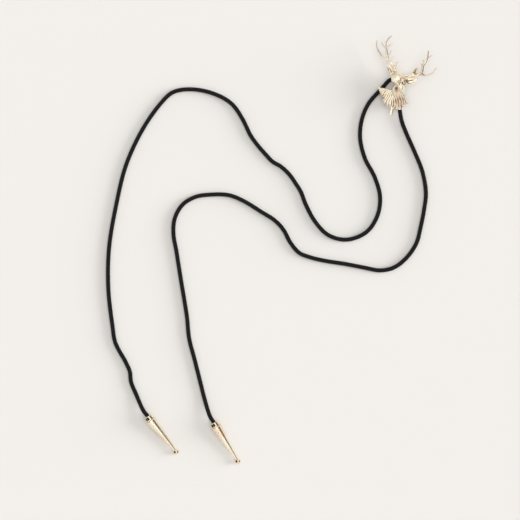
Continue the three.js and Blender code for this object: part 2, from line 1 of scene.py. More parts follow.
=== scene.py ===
"""Bolo tie laid flat: a cast stag's bust slide, its cord clasp, a braided cord and two cone tips.

Laid out as an add-on and run as a script. Tables are in millimetres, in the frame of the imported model:
the origin is on the table under the heel of the clasp, and +Z points up.
"""

import math

import bpy
import numpy as np
from bpy.props import FloatProperty, FloatVectorProperty, IntProperty, PointerProperty
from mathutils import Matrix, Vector


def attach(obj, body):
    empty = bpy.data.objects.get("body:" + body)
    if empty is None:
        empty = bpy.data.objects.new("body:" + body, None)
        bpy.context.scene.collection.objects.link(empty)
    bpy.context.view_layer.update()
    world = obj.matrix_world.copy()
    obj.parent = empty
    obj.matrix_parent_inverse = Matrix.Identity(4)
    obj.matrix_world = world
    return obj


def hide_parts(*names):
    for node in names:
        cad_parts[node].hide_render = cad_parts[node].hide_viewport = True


bl_info = {
    "name": "Bolo tie",
    "version": (1, 0, 0),
    "blender": (4, 5, 0),
    "location": "View3D > Sidebar > Bolo tie",
    "description": "Builds a bolo tie with a cast stag's bust slide, its cord and its tips",
    "category": "Object",
}

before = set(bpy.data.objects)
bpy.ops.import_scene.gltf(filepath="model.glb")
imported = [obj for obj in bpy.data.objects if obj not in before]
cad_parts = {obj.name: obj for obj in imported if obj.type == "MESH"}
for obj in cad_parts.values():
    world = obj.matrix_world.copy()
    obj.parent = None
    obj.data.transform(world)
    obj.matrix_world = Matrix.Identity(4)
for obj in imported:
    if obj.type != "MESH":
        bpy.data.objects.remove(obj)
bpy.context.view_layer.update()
MM = 0.001

# Middle of the photograph's frame in plan, and the floor under the tie
VIEW_MIDDLE = (-93.8, -117.95)
FLOOR_HALF = 9000.0
FLOOR_Z = -0.12

# Routes of the two strands and of the loop behind the bust, along the middle of the cord, x and y
LEFT_ROUTE = [
    (-17.8, -8.5), (-22.5, -19.6), (-23.7, -32.9), (-20.2, -47.2), (-13.6, -59.8), (-9.8, -73.5),
    (-11.6, -86.8), (-19.2, -98.3), (-32.9, -103.7), (-45.8, -100.6), (-55.2, -91.1), (-61.9, -78.8),
    (-65.1, -70.5), (-69.2, -63.8), (-73.8, -57.5), (-79.4, -52.4), (-85.0, -49.1), (-89.9, -44.0),
    (-95.8, -37.2), (-100.4, -30.7), (-106.3, -18.8), (-113.7, -8.6), (-125.3, -1.9), (-141.4, 1.5),
    (-154.7, -0.6), (-164.1, -9.4), (-176.7, -27.9), (-187.6, -51.8), (-194.4, -79.4), (-199.4, -109.5),
    (-199.9, -138.2), (-197.1, -163.4), (-195.0, -175.8), (-187.9, -189.2), (-184.9, -196.0),
    (-184.0, -203.3), (-180.5, -211.8),
]
RIGHT_ROUTE = [
    (5.3, -20.6), (8.8, -29.7), (14.7, -43.0), (19.9, -56.3), (22.3, -71.0), (21.0, -82.9),
    (18.5, -95.5), (15.7, -106.0), (8.8, -116.3), (-0.3, -123.3), (-9.8, -125.2), (-21.7, -123.1),
    (-34.3, -120.7), (-48.3, -118.5), (-58.8, -116.0), (-66.5, -112.8), (-72.8, -105.3), (-77.4, -96.8),
    (-83.3, -90.4), (-93.1, -84.1), (-105.0, -76.8), (-115.5, -72.6), (-128.1, -72.2), (-138.9, -73.8),
    (-148.0, -79.3), (-153.3, -88.5), (-154.4, -99.0), (-152.2, -112.3), (-149.1, -131.9),
    (-144.9, -157.8), (-143.4, -172.5), (-139.3, -188.6), (-135.5, -203.7), (-132.7, -214.8),
]
LOOP_ROUTE = [
    (-7.8, 2.99), (-6.25, 4.74), (-4.7, 6.48), (-3.42, 7.57), (-1.89, 8.25), (-0.23, 8.49), (1.42, 8.26),
    (2.96, 7.58), (4.24, 6.5), (5.18, 5.11), (5.69, 3.52), (5.75, 1.84), (5.45, -1.0), (5.0, -4.8),
    (4.5, -8.3), (4.12, -10.6),
]

# Cord guides of the clasp and mouths of the tips: place in plan and heading in degrees
LEFT_GUIDE = (-9.35, 1.25, 48.3)
RIGHT_GUIDE = (4.0, -12.1, 89.0)
GUIDE_LENGTH = 1.6
GUIDE_RUN_OUT = 0.2
LEFT_MOUTH = (-172.3, -227.2, -51.6)
RIGHT_MOUTH = (-126.1, -231.6, -58.2)

# The way round the cord, in millimetres
CORD_GIRTH = 9.4

# Heights of the cord on the table and in the clasp, and of the back of the bust
CORD_Z = 1.5
CLASP_CORD_Z = 2.9
PLATE_BOTTOM = 4.8
BUST_BACK = 5.9
SEAT_GAP = 0.3
STRAND_FALL = (0.45, 0.08)

# Cord clasp: heights, sizes and outlines in plan
PLATE_TOP = 5.6
HEEL_WIDTH = 6.8
HEEL_THICKNESS = 1.2
EAR_THICKNESS = 0.8
EAR_MARGIN = 1.2
GUIDE_BORE = 1.8
GUIDE_RADIUS = 2.25
GUIDE_FOOT_WIDTH = 3.0
PIN = (0.0, -2.2, 1.55)
PIN_RADIUS = 0.4
KNUCKLE_RADIUS = 1.15
LEVER_BOTTOM = 0.4
LEVER_TOP = 1.1
LEVER_NECK_WIDTH = 4.4
LEVER_RIBS = (-8.7, -4.6, 0.8)
RIB_RADIUS = 0.24
RIB_LENGTH = 9.6
TAB_TOP = -11.3
TAB_MIDDLE = -1.2
TAB_SWAY = -0.19
TAB_WIDTH = 2.1
TAB_CROWN = 0.38
PLATE_OUTLINE = [
    (-9.15, 0.35), (-8.15, 1.65), (-3.4, 0.6), (3.4, 0.6), (5.3, -2.2), (4.8, -9.45), (4.8, -11.8),
    (2.7, -11.8), (-1.4, -10.55), (-6.15, -8.05), (-7.45, -3.35),
]
LEVER_OUTLINE = [
    (-2.2, -2.2), (-2.2, -4.3), (-4.4, -4.3), (-4.4, -9.3), (-2.25, -11.3), (-3.24, -16.08), (-2.82, -16.5),
    (-1.56, -16.5), (-1.14, -16.08), (-0.15, -11.3), (1.32, -10.0), (6.4, -9.3), (6.4, -4.3), (2.2, -4.3),
    (2.2, -2.2),
]

# Cone tips
TIP_LENGTH = 32.0
TIP_MOUTH_RADIUS = 3.2
TIP_MOUTH_BORE = 2.65
TIP_COLLAR_LENGTH = 3.0
TIP_COLLAR_SWELL = 0.17
TIP_GROOVE_DEPTH = 0.25
TIP_GROOVE_HALF = 0.35
TIP_GROOVE_AFTER = 0.4
TIP_BORE_SHARE = 0.6
TIP_WIDEST_RADIUS = 3.45
TIP_WIDEST_AT = 4.2
TIP_NECK_RADIUS = 0.95
TIP_BALL_RADIUS = 2.0
TIP_SOCKET_DEPTH = 7.0
TIP_APPROACH = 5.0
# Painted reflections: dark spots near the top of the polished ball, each a direction from its middle, a size
# and how dark; the ball's skin has no dent there
BALL_PAINTED_REFLECTIONS = [((-0.5, -0.04, 0.86), 1.15, 1.5), ((0.55, 0.02, 0.83), 0.85, 1.0)]
TIP_SIDES = 128
BORE_ROWS, TAPER_ROWS, RIM_ROWS = 8, 9, 9

# Engraved dots on the cones: where they start, their spacing, rows, number round, half sizes and depth
DOTS_START = 5.3
DOTS_PITCH = 1.7
DOTS_ROWS = 12
DOTS_ROUND = 6
DOTS_HALF = (0.33, 0.42)
DOTS_DEPTH = 0.1

# Crimps in the collars: places round in degrees, middle, half sizes in degrees and along, and depth
CRIMPS = (106, 136)
CRIMP_MIDDLE = 1.5
CRIMP_HALF = (15, 1.15)
CRIMP_DEPTH = 0.26

TIP_SLOPE = math.asin((TIP_WIDEST_RADIUS - TIP_BALL_RADIUS) / (TIP_LENGTH - TIP_WIDEST_AT))
TIP_MOUTH_Z = TIP_WIDEST_RADIUS / math.cos(TIP_SLOPE) + TIP_WIDEST_AT * math.tan(TIP_SLOPE)

# Stag's bust
RUFF_REACH = 12.8
RUFF_DEPTH = 3.4
RUFF_EDGE = 1.3
RUFF_RIDGE_HEIGHT = 0.74
RUFF_COLUMNS = 460
RUFF_BANDS = 60
THROAT = (0.7, -0.35)
NECK_LENGTH = 17.5
NECK_WIDTH = 10.0
NECK_DEPTH = 7.2
HEAD_LENGTH = 15.0
HEAD_WIDTH = 9.9
HEAD_DEPTH = 11.2
POLL = (2.6, 14.1)
EYE_RADIUS = 0.7
ANTLER_HEIGHT = 21.5
ANTLER_BEAM = 1.05
ANTLER_TIP = 0.23
STUDS = [(-3.6, -5.6), (0.9, -9.2)]
STUD_RADIUS = 0.8
STUD_HEAD_RADIUS = 1.4
STUD_HEAD_HEIGHT = 0.8
NAPE = (0.02, 0.27)

# Fur locks: where they fan out from, their seed, range of widths in degrees, number and first direction
LOCK_ROOT = (1.6, 5.4)
LOCK_SEED = 11
LOCK_WIDTHS = (5.8, 9.6)
LOCK_COUNT = 44
LOCK_FIRST = 150

# Ruff outline: direction from the throat in degrees and reach as a share of RUFF_REACH
RUFF_OUTLINE = [
    (163, 0.74), (168, 0.9), (179, 0.87), (189, 0.82), (202, 0.72), (211, 0.72), (214, 0.89), (221, 0.88),
    (231, 0.87), (241, 0.91), (251, 0.87), (262, 0.89), (270, 0.95), (274, 1.0), (278, 0.9), (289, 0.94),
    (295, 0.83), (305, 0.88), (316, 0.96), (322, 0.98), (328, 0.75), (334, 0.6), (349, 0.48),
]

# Neck and head sections: down, across and half width, front and back, as shares of the sizes above
NECK_SECTIONS = [
    (0.0, 0.02, 0.3, 0.9, 0.12), (0.23, 0.1, 0.385, 0.95, 0.04), (0.38, 0.08, 0.4, 0.92, 0.0),
    (0.46, 0.02, 0.46, 0.88, 0.0), (0.63, -0.05, 0.475, 0.72, 0.0), (0.83, -0.1, 0.46, 0.5, 0.0),
    (1.0, -0.12, 0.42, 0.3, 0.0),
]
HEAD_SECTIONS = [
    (0.0, 0.0, 0.13, 0.47, 0.29), (0.11, 0.0, 0.35, 0.65, 0.2), (0.24, 0.015, 0.47, 0.77, 0.16),
    (0.38, 0.015, 0.5, 0.84, 0.18), (0.51, 0.035, 0.47, 0.89, 0.25), (0.62, 0.12, 0.385, 0.93, 0.36),
    (0.72, 0.2, 0.3, 0.96, 0.48), (0.85, 0.25, 0.24, 1.0, 0.59), (0.95, 0.28, 0.19, 0.98, 0.65),
    (1.0, 0.29, 0.12, 0.91, 0.73),
]

# How many rounds of smoothing show the hollows, and how hollow the cast skin may read
CAST_REACH = 14
STAMPED_REACH = 8
MOST_HOLLOW = 1.45
LESS_HOLLOW_ON_RUFF = 0.37

# Eyes, nostrils and ear roots: down, across and front as shares of the head
EYES = [(0.53, 0.06, 0.885), (0.565, 0.375, 0.8)]
NOSTRILS = [(0.9, 0.2, 0.95), (0.905, 0.37, 0.95)]
RIGHT_EAR = {"root": (0.52, 0.38, 0.46), "heading": 12, "length": 9.9, "width": 5.2, "depth": 2.6}
LEFT_EAR = {"root": (0.2, -0.37, 0.42), "heading": 115, "length": 7.8, "width": 4.4, "depth": 2.6}
BROW_PALM = {"root": (0.243, 1.08, 0.286), "heading": 66, "length": 7.0, "width": 3.6, "depth": 2.2}
LEAVES = (RIGHT_EAR, LEFT_EAR, BROW_PALM)

# Lines worked into the face from each eye: start and end from its middle, width and depth
EYE_LINES = [
    ((0.1, -0.9, 0.2), (0.45, -3.1, 0.9), 0.5, 0.5), ((-0.15, 0.9, 0.0), (-0.3, 2.2, 0.0), 0.42, 0.4),
]

# Cheek lines: start, end and width; pits beside the ears; and their depths
CHEEK_LINES = [((-0.6, 9.4, 12.0), (2.6, 2.4, 13.0), 0.6), ((3.7, -0.6, 15.6), (6.6, -0.4, 15.4), 0.4)]
CHEEK_DEPTH = 0.42
EAR_PITS = [(1.6, 13.9, 12.6), (4.0, 12.4, 14.0)]
EAR_PIT_DEPTH = 0.75

# Oval patches in plan, middle and half sizes: painted warm reflections on the low ruff and throat; painted
# jaw shadow
RUFF_PAINTED_REFLECTION = (3.4, -8.0, 5.6, 4.6)
THROAT_PAINTED_REFLECTION = (1.7, 0.7, 1.5, 1.7)
THROAT_PAINTED_SHADOW = (1.2, 1.9, 1.3, 1.4)

# Antler branches: start and end thickness as shares of ANTLER_BEAM, then points as shares of ANTLER_HEIGHT
LEFT_ANTLER = [
    (1.0, 0.85, [(-0.06, -0.04, 0.2), (-0.16, 0.18, 0.21), (-0.25, 0.27, 0.2), (-0.336, 0.396, 0.19)]),
    (0.8, 0.25, [(-0.33, 0.39, 0.19), (-0.378, 0.38, 0.18), (-0.486, 0.432, 0.15), (-0.58, 0.536, 0.14),
                 (-0.658, 0.676, 0.16), (-0.704, 0.822, 0.21), (-0.697, 0.936, 0.26), (-0.69, 1.008, 0.3)]),
    (0.78, 0.4, [(-0.336, 0.396, 0.19), (-0.362, 0.517, 0.22), (-0.378, 0.68, 0.27), (-0.404, 0.794, 0.3),
                 (-0.398, 0.94, 0.3)]),
    (0.5, 0.2, [(-0.398, 0.93, 0.3), (-0.33, 1.03, 0.28), (-0.26, 1.1, 0.25), (-0.2, 1.145, 0.22)]),
    (0.45, 0.2, [(-0.345, 0.44, 0.2), (-0.31, 0.53, 0.24), (-0.25, 0.6, 0.27), (-0.222, 0.666, 0.3)]),
    (0.5, 0.22, [(-0.38, 0.71, 0.28), (-0.44, 0.765, 0.27), (-0.5, 0.84, 0.28), (-0.541, 0.94, 0.3)]),
    (0.5, 0.2, [(-0.39, 0.76, 0.29), (-0.31, 0.8, 0.33), (-0.24, 0.86, 0.36), (-0.166, 0.907, 0.38)]),
    (0.42, 0.2, [(-0.25, 0.27, 0.2), (-0.2, 0.36, 0.24), (-0.16, 0.43, 0.27), (-0.118, 0.49, 0.3)]),
    (0.5, 0.22, [(-0.09, 0.1, 0.22), (-0.06, 0.2, 0.27), (-0.02, 0.3, 0.31), (0.074, 0.377, 0.34)]),
]
RIGHT_ANTLER = [
    (1.0, 0.8, [(0.18, -0.2, 0.17), (0.34, -0.175, 0.12), (0.5, -0.15, 0.13), (0.66, -0.13, 0.16),
                (0.757, -0.07, 0.18)]),
    (0.75, 0.25, [(0.74, -0.08, 0.18), (0.8, -0.13, 0.16), (0.89, -0.147, 0.14), (1.03, -0.11, 0.14),
                  (1.148, -0.02, 0.18), (1.25, 0.118, 0.24)]),
    (0.85, 0.55, [(0.757, -0.08, 0.18), (0.784, 0.03, 0.22), (0.807, 0.165, 0.27), (0.875, 0.256, 0.31),
                  (0.93, 0.37, 0.33), (0.955, 0.507, 0.33), (0.965, 0.66, 0.31)]),
    (0.5, 0.22, [(0.85, 0.22, 0.29), (0.84, 0.26, 0.32), (0.81, 0.32, 0.34), (0.784, 0.37, 0.35)]),
    (0.5, 0.3, [(0.8, 0.13, 0.26), (0.77, 0.16, 0.29), (0.755, 0.21, 0.31), (0.755, 0.25, 0.32)]),
    (0.45, 0.22, [(0.945, 0.42, 0.33), (1.0, 0.44, 0.34), (1.05, 0.47, 0.35), (1.103, 0.53, 0.36)]),
]


# Sizes and colours that a user would change
def length(name, default, description):
    return FloatProperty(name=name, description=description, default=default, min=0.0, precision=5,
                         subtype="DISTANCE", unit="LENGTH")


def colour(name, default, description):
    return FloatVectorProperty(name=name, description=description, default=default, size=3, min=0.0, max=1.0,
                               subtype="COLOR")


def factor(name, default, description):
    return FloatProperty(name=name, description=description, default=default, min=0.0, max=1.0,
                         subtype="FACTOR")


def strength(name, default, description):
    return FloatProperty(name=name, description=description, default=default, min=0.0)


def angle(name, degrees, description):
    return FloatProperty(name=name, description=description, default=math.radians(degrees),
                         subtype="ANGLE", unit="ROTATION")


class CordSettings(bpy.types.PropertyGroup):
    diameter: length("Diameter", 0.003, "Thickness of the round braid over its crowns")
    rib_depth: length("Rib depth", 0.00017, "How deep the hollows between the plaits are")
    rib_pitch: length("Rib pitch", 0.0013, "Distance between plaits along the cord")
    ring_spacing: length("Ring spacing", 0.00027, "Distance between the rings of the mesh")
    plaits: IntProperty(name="Plaits", description="Plaits side by side each way round", default=6, min=2)
    sides: IntProperty(name="Sides", description="Points round each ring", default=32, min=8)
    left_length: length("Left strand", 0.545, "Length of the strand from the left guide to its tip")
    right_length: length("Right strand", 0.453, "Length of the strand from the right guide to its tip")
    loop_length: length("Loop", 0.0365, "Length of the loop behind the bust")
    crown: colour("Crown colour", (0.0045, 0.0043, 0.0054), "Colour of the plaits where they bulge")
    # Painted shade: the braid is darker between its plaits, where shade falls
    hollow: colour("Hollow colour", (0.0015, 0.0015, 0.0018), "Colour between the plaits")
    worn: colour("Worn colour", (0.010, 0.0096, 0.0125), "Colour of the fluff on the plaits")


class MetalSettings(bpy.types.PropertyGroup):
    clean: colour("Clean colour", (1.0, 0.945, 0.78), "Pale gold plating where it is polished")
    warm: colour("Warm colour", (0.94, 0.79, 0.62), "Plating where it is thin and warmer")
    # The tarnish colour also paints shade and dark reflections wherever the hollowness carries them
    tarnish_and_shade: colour("Tarnish and shade colour", (0.16, 0.09, 0.045), "Dark finish left in the hollows")
    # The toned colour paints warm reflections low on the ruff and at the throat, and is real toning on the
    # antlers
    toned_and_reflected: colour("Toned and reflected colour", (0.62, 0.46, 0.34), "Plating toned brown on the ruff and the antlers")
    roughness: factor("Roughness", 0.17, "Roughness of the polished plating")
    voxel: length("Skin detail", 0.00019, "Size of the cells that the cast skin is made from")
    clasp_voxel: length("Clasp detail", 0.00012, "Size of the cells that the stamped skin is made from")


class StageSettings(bpy.types.PropertyGroup):
    floor: colour("Floor colour", (0.817, 0.788, 0.752), "Pale paper under the tie")
    camera_height: length("Camera height", 4.0, "Height of the camera above the table")
    view_width: length("View width", 0.364, "Width of the picture at the table")
    key_strength: strength("Key strength", 3.35, "Strength of the low light from the right")
    key_angle: angle("Key size", 36.0, "Apparent size of the low light")
    key_elevation: angle("Key elevation", 13.5, "Height of the low light above the table's plane")
    top_strength: strength("Top strength", 1.08, "Strength of the soft light overhead")
    top_angle: angle("Top size", 50.0, "Apparent size of the light overhead")


# Curves and rings
def smooth_path(points, spacing):
    """Evenly spaced points on one smooth curve through the given points."""
    points = np.array(points, float)
    ends = np.vstack([2 * points[0] - points[1], points, 2 * points[-1] - points[-2]])
    dense = []
    for p0, p1, p2, p3 in zip(ends, ends[1:], ends[2:], ends[3:]):
        steps = [max(1e-4, math.sqrt(np.linalg.norm(b - a))) for a, b in ((p0, p1), (p1, p2), (p2, p3))]
        t0, t1 = 0.0, steps[0]
        t2, t3 = t1 + steps[1], t1 + steps[1] + steps[2]
        t = np.linspace(t1, t2, 40, endpoint=False)[:, None]
        a1 = (t1 - t) / (t1 - t0) * p0 + (t - t0) / (t1 - t0) * p1
        a2 = (t2 - t) / (t2 - t1) * p1 + (t - t1) / (t2 - t1) * p2
        a3 = (t3 - t) / (t3 - t2) * p2 + (t - t2) / (t3 - t2) * p3
        b1 = (t2 - t) / (t2 - t0) * a1 + (t - t0) / (t2 - t0) * a2
        b2 = (t3 - t) / (t3 - t1) * a2 + (t - t1) / (t3 - t1) * a3
        dense.append((t2 - t) / (t2 - t1) * b1 + (t - t1) / (t2 - t1) * b2)
    dense = np.vstack([*dense, points[-1]])
    run = np.concatenate([[0.0], np.cumsum(np.linalg.norm(np.diff(dense, axis=0), axis=1))])
    count = max(2, int(round(run[-1] / spacing)) + 1)
    at = np.linspace(0.0, run[-1], count)
    return np.stack([np.interp(at, run, dense[:, k]) for k in range(dense.shape[1])], axis=1)


def unit(vectors):
    return vectors / np.maximum(np.linalg.norm(vectors, axis=-1, keepdims=True), 1e-12)


def ring_frames(path):
    """For each point of a path that never stands upright: its direction, and the sideways and upward axes."""
    along = unit(np.gradient(path, axis=0))
    side = unit(np.cross((0.0, 0.0, 1.0), along))
    return along, side, np.cross(along, side)


def ring_faces(rings, sides, closed_ends=True):
    """Quads between rings that follow one another, and one face over each end."""
    start = (np.arange(rings - 1) * sides)[:, None]
    a = np.arange(sides)[None, :]
    b = (a + 1) % sides
    quads = np.stack([start + a, start + b, start + b + sides, start + a + sides], axis=-1)
    quads = quads.reshape(-1, 4).tolist()
    if closed_ends:
        last = (rings - 1) * sides
        quads.append(list(range(sides))[::-1])
        quads.append(list(range(last, last + sides)))
    return quads


def rod(points, start, end, sides, spacing):
    """A closed tapered rod along a smooth curve, rounded over its last rings."""
    path = smooth_path(points, spacing)
    _, side, up = ring_frames(path)
    share = np.linspace(0.0, 1.0, len(path))
    to_end = np.clip(share * len(path) - len(path) + 2.5, 0, 2.4) / 2.6
    radius = (start + (end - start) * share) * np.sqrt(np.clip(1 - to_end ** 2, 0.02, 1))
    return tube_points(path, radius[:, None], sides, side, up).reshape(-1, 3), ring_faces(len(path), sides)


def tube_points(path, radius, sides, side, up):
    """Rings of points round a path, with a radius for each ring or for each point."""
    turn = np.linspace(0.0, 2 * math.pi, sides, endpoint=False)[None, :, None]
    return path[:, None] + radius[..., None] * (np.cos(turn) * side[:, None] + np.sin(turn) * up[:, None])


def lofted(top, size, sections, sides, rows, wedge):
    """A closed form through level oval sections that are spaced smoothly from top to bottom."""
    long, wide, deep = size
    table = smooth_path(sections, 1.0 / rows)
    down, across, half, front, back = table.T
    y = top[1] - down * long
    x = top[0] + across * wide
    low = BUST_BACK + back * deep
    high = BUST_BACK + front * deep
    middle = low + 0.4 * (high - low)
    turn = np.linspace(0.0, 2 * math.pi, sides, endpoint=False)[None, :]
    lift = np.sin(turn)
    narrowing = 1 - wedge * np.clip(lift, 0, None)
    z = middle[:, None] + lift * np.where(lift > 0, (high - middle)[:, None], (middle - low)[:, None])
    px = x[:, None] + half[:, None] * wide * np.cos(turn) * narrowing
    points = np.stack([px, np.repeat(y[:, None], sides, axis=1), z], axis=-1)
    return points.reshape(-1, 3), ring_faces(len(table), sides)


# Meshes and objects
def new_mesh(name, points, faces):
    mesh = bpy.data.meshes.new(name)
    mesh.from_pydata((np.asarray(points) * MM).tolist(), [], faces)
    mesh.validate()
    mesh.update()
    return mesh


def facing_out(points, faces):
    """The faces, turned over if they enclose a negative volume."""
    points = np.asarray(points)
    volume = 0.0
    for face in faces:
        corner = points[list(face)]
        volume += (np.cross(corner[1:-1], corner[2:]) @ corner[0]).sum()
    return faces if volume > 0 else [list(face)[::-1] for face in faces]


def joined_mesh(name, parts):
    """One mesh that holds several closed parts."""
    points, faces, base = [], [], 0
    for part_points, part_faces in parts:
        points.append(part_points)
        faces += [[i + base for i in face] for face in facing_out(part_points, part_faces)]
        base += len(part_points)
    return new_mesh(name, np.vstack(points), faces)


def placed(name, mesh, material, body, slot, *replaced):
    """A smooth object that rides on a body and stands for the CAD nodes given."""
    mesh.materials.append(material)
    mesh.shade_smooth()
    piece = bpy.data.objects.new(name, mesh)
    bpy.context.scene.collection.objects.link(piece)
    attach(piece, body)
    if replaced:
        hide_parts(*replaced)
    return piece


def fused_mesh(name, parts, voxel):
    """One closed skin round closed parts that overlap."""
    rough = bpy.data.objects.new(name + "_rough", joined_mesh(name + "_rough", parts))
    bpy.context.scene.collection.objects.link(rough)
    skin = rough.modifiers.new("skin", "REMESH")
    skin.mode = "VOXEL"
    skin.voxel_size = voxel
    skin.adaptivity = 0.0
    graph = bpy.context.evaluated_depsgraph_get()
    mesh = bpy.data.meshes.new_from_object(rough.evaluated_get(graph))
    mesh.name = name
    parts_mesh = rough.data
    bpy.data.objects.remove(rough)
    bpy.data.meshes.remove(parts_mesh)
    return mesh


def coordinates(mesh):
    """The vertices of a mesh, in millimetres."""
    flat = np.empty(len(mesh.vertices) * 3, np.float32)
    mesh.vertices.foreach_get("co", flat)
    return flat.reshape(-1, 3).astype(float) / MM


def set_coordinates(mesh, points):
    mesh.vertices.foreach_set("co", (points * MM).astype(np.float32).ravel())
    mesh.update()


def edge_pairs(mesh):
    flat = np.empty(len(mesh.edges) * 2, np.int32)
    mesh.edges.foreach_get("vertices", flat)
    return flat.reshape(-1, 2)


def around(values, pairs, count):
    """For each vertex the mean of a value over its neighbours."""
    a, b = pairs.T
    both, other = np.concatenate([a, b]), np.concatenate([b, a])
    share = np.maximum(np.bincount(both, minlength=count), 1)
    if values.ndim == 1:
        return np.bincount(both, values[other], count) / share
    columns = [np.bincount(both, column, count) / share for column in values[other].T]
    return np.stack(columns, axis=1)


def relaxed(points, pairs, rounds, share=1.0):
    """Points smoothed without shrinking them, by a share that may differ from point to point."""
    for _ in range(rounds):
        for pull in (0.5, -0.53):
            points = points + pull * share * (around(points, pairs, len(points)) - points)
    return points


def vertex_normals(mesh):
    flat = np.empty(len(mesh.vertices) * 3, np.float32)
    mesh.vertices.foreach_get("normal", flat)
    return flat.reshape(-1, 3).astype(float)


def mark_hollows(mesh, reach, extra=0.0, most=1.0):
    """Writes how hollow the skin is at each vertex: 0 on crowns, 1 in grooves and more in pits."""
    points, pairs = coordinates(mesh), edge_pairs(mesh)
    normals = vertex_normals(mesh)
    broad = points
    for _ in range(reach):
        broad = 0.4 * broad + 0.6 * around(broad, pairs, len(points))
    depth = np.einsum("ij,ij->i", broad - points, normals)
    for _ in range(4):
        depth = 0.5 * depth + 0.5 * around(depth, pairs, len(points))
    scale = np.percentile(np.abs(depth), 90)
    # The extra share adds what the caller gives: more dark finish, and painted shade
    write_attribute(mesh, "hollow", np.clip(0.5 + 0.5 * depth / scale + extra, 0, most))


def write_attribute(mesh, name, values):
    attribute = mesh.attributes.new(name, "FLOAT", "POINT")
    attribute.data.foreach_set("value", np.asarray(values, np.float32))


# Node helpers
COLOUR, FLOAT = "NodeSocketColor", "NodeSocketFloat"
BLACK, WHITE = (0.0, 0.0, 0.0, 1.0), (1.0, 1.0, 1.0, 1.0)
# Near black for pits, and for painted shade and dark reflections that read as deep as pits
PIT_AND_SHADE_COLOUR = (0.008, 0.007, 0.006, 1.0)


def node(tree, kind, inputs=(), **settings):
    """A node with its settings, and inputs that are numbers, colours or other nodes' sockets."""
    made = tree.nodes.new(kind)
    for key, value in settings.items():
        setattr(made, key, value)
    for key, value in dict(inputs).items():
        socket = made.inputs[key]
        if isinstance(value, bpy.types.NodeSocket):
            tree.links.new(value, socket)
        else:
            socket.default_value = value
    return made


def maths(tree, operation, *values, clamp=False):
    return node(tree, "ShaderNodeMath", enumerate(values), operation=operation, use_clamp=clamp).outputs[0]


def mixed(tree, share, first, second):
    """A colour between two, by a share."""
    made = node(tree, "ShaderNodeMix", {"Factor": share}, data_type="RGBA")
    for socket, value in ((made.inputs[6], first), (made.inputs[7], second)):
        if isinstance(value, bpy.types.NodeSocket):
            tree.links.new(value, socket)
        else:
            socket.default_value = value
    return made.outputs[2]


def spread(tree, value, low, high, to_low=0.0, to_high=1.0):
    """A value moved smoothly from one range to another."""
    made = node(tree, "ShaderNodeMapRange", {0: value, 1: low, 2: high, 3: to_low, 4: to_high})
    made.interpolation_type = "SMOOTHSTEP"
    return made.outputs[0]


def window(tree, value, low, high, soft):
    """1 where a value lies between two, falling smoothly to 0 outside them."""
    above = spread(tree, value, low - soft, low)
    below = spread(tree, value, high, high + soft, 1.0, 0.0)
    return maths(tree, "MULTIPLY", above, below)


def noise(tree, place, scale, detail):
    made = node(tree, "ShaderNodeTexNoise", {"Vector": place, "Scale": scale, "Detail": detail})
    return made.outputs["Fac"]


def attribute(tree, name):
    return node(tree, "ShaderNodeAttribute", attribute_name=name).outputs["Fac"]


def new_material(name):
    """A material with the default shader, its tree and the shader."""
    material = bpy.data.materials.new(name)
    material.use_nodes = True
    return material, material.node_tree, material.node_tree.nodes["Principled BSDF"]


def finished(tree, shader, finish, bump, distance):
    """Links a group's colour, roughness and height to the shader."""
    relief = node(tree, "ShaderNodeBump",
                  {"Height": finish["Height"], "Strength": bump, "Distance": distance})
    tree.links.new(finish["Colour"], shader.inputs["Base Color"])
    tree.links.new(finish["Roughness"], shader.inputs["Roughness"])
    tree.links.new(relief.outputs["Normal"], shader.inputs["Normal"])


def node_group(name, inputs, build):
    """A shader node group, built once, that puts out a colour, a roughness and a height."""
    found = bpy.data.node_groups.get(name)
    if found:
        return found
    tree = bpy.data.node_groups.new(name, "ShaderNodeTree")
    for label, kind, default in inputs:
        socket = tree.interface.new_socket(label, in_out="INPUT", socket_type=kind)
        if default is not None:
            socket.default_value = default
    for label, kind in (("Colour", COLOUR), ("Roughness", FLOAT), ("Height", FLOAT)):
        tree.interface.new_socket(label, in_out="OUTPUT", socket_type=kind)
    into = tree.nodes.new("NodeGroupInput")
    out = tree.nodes.new("NodeGroupOutput")
    for label, socket in build(tree, into.outputs).items():
        tree.links.new(socket, out.inputs[label])
    return tree


def placed_group(tree, group, inputs):
    made = tree.nodes.new("ShaderNodeGroup")
    made.node_tree = group
    for key, value in inputs.items():
        if isinstance(value, bpy.types.NodeSocket):
            tree.links.new(value, made.inputs[key])
        else:
            made.inputs[key].default_value = value
    return made.outputs


def rgba(values):
    return (*values, 1.0)


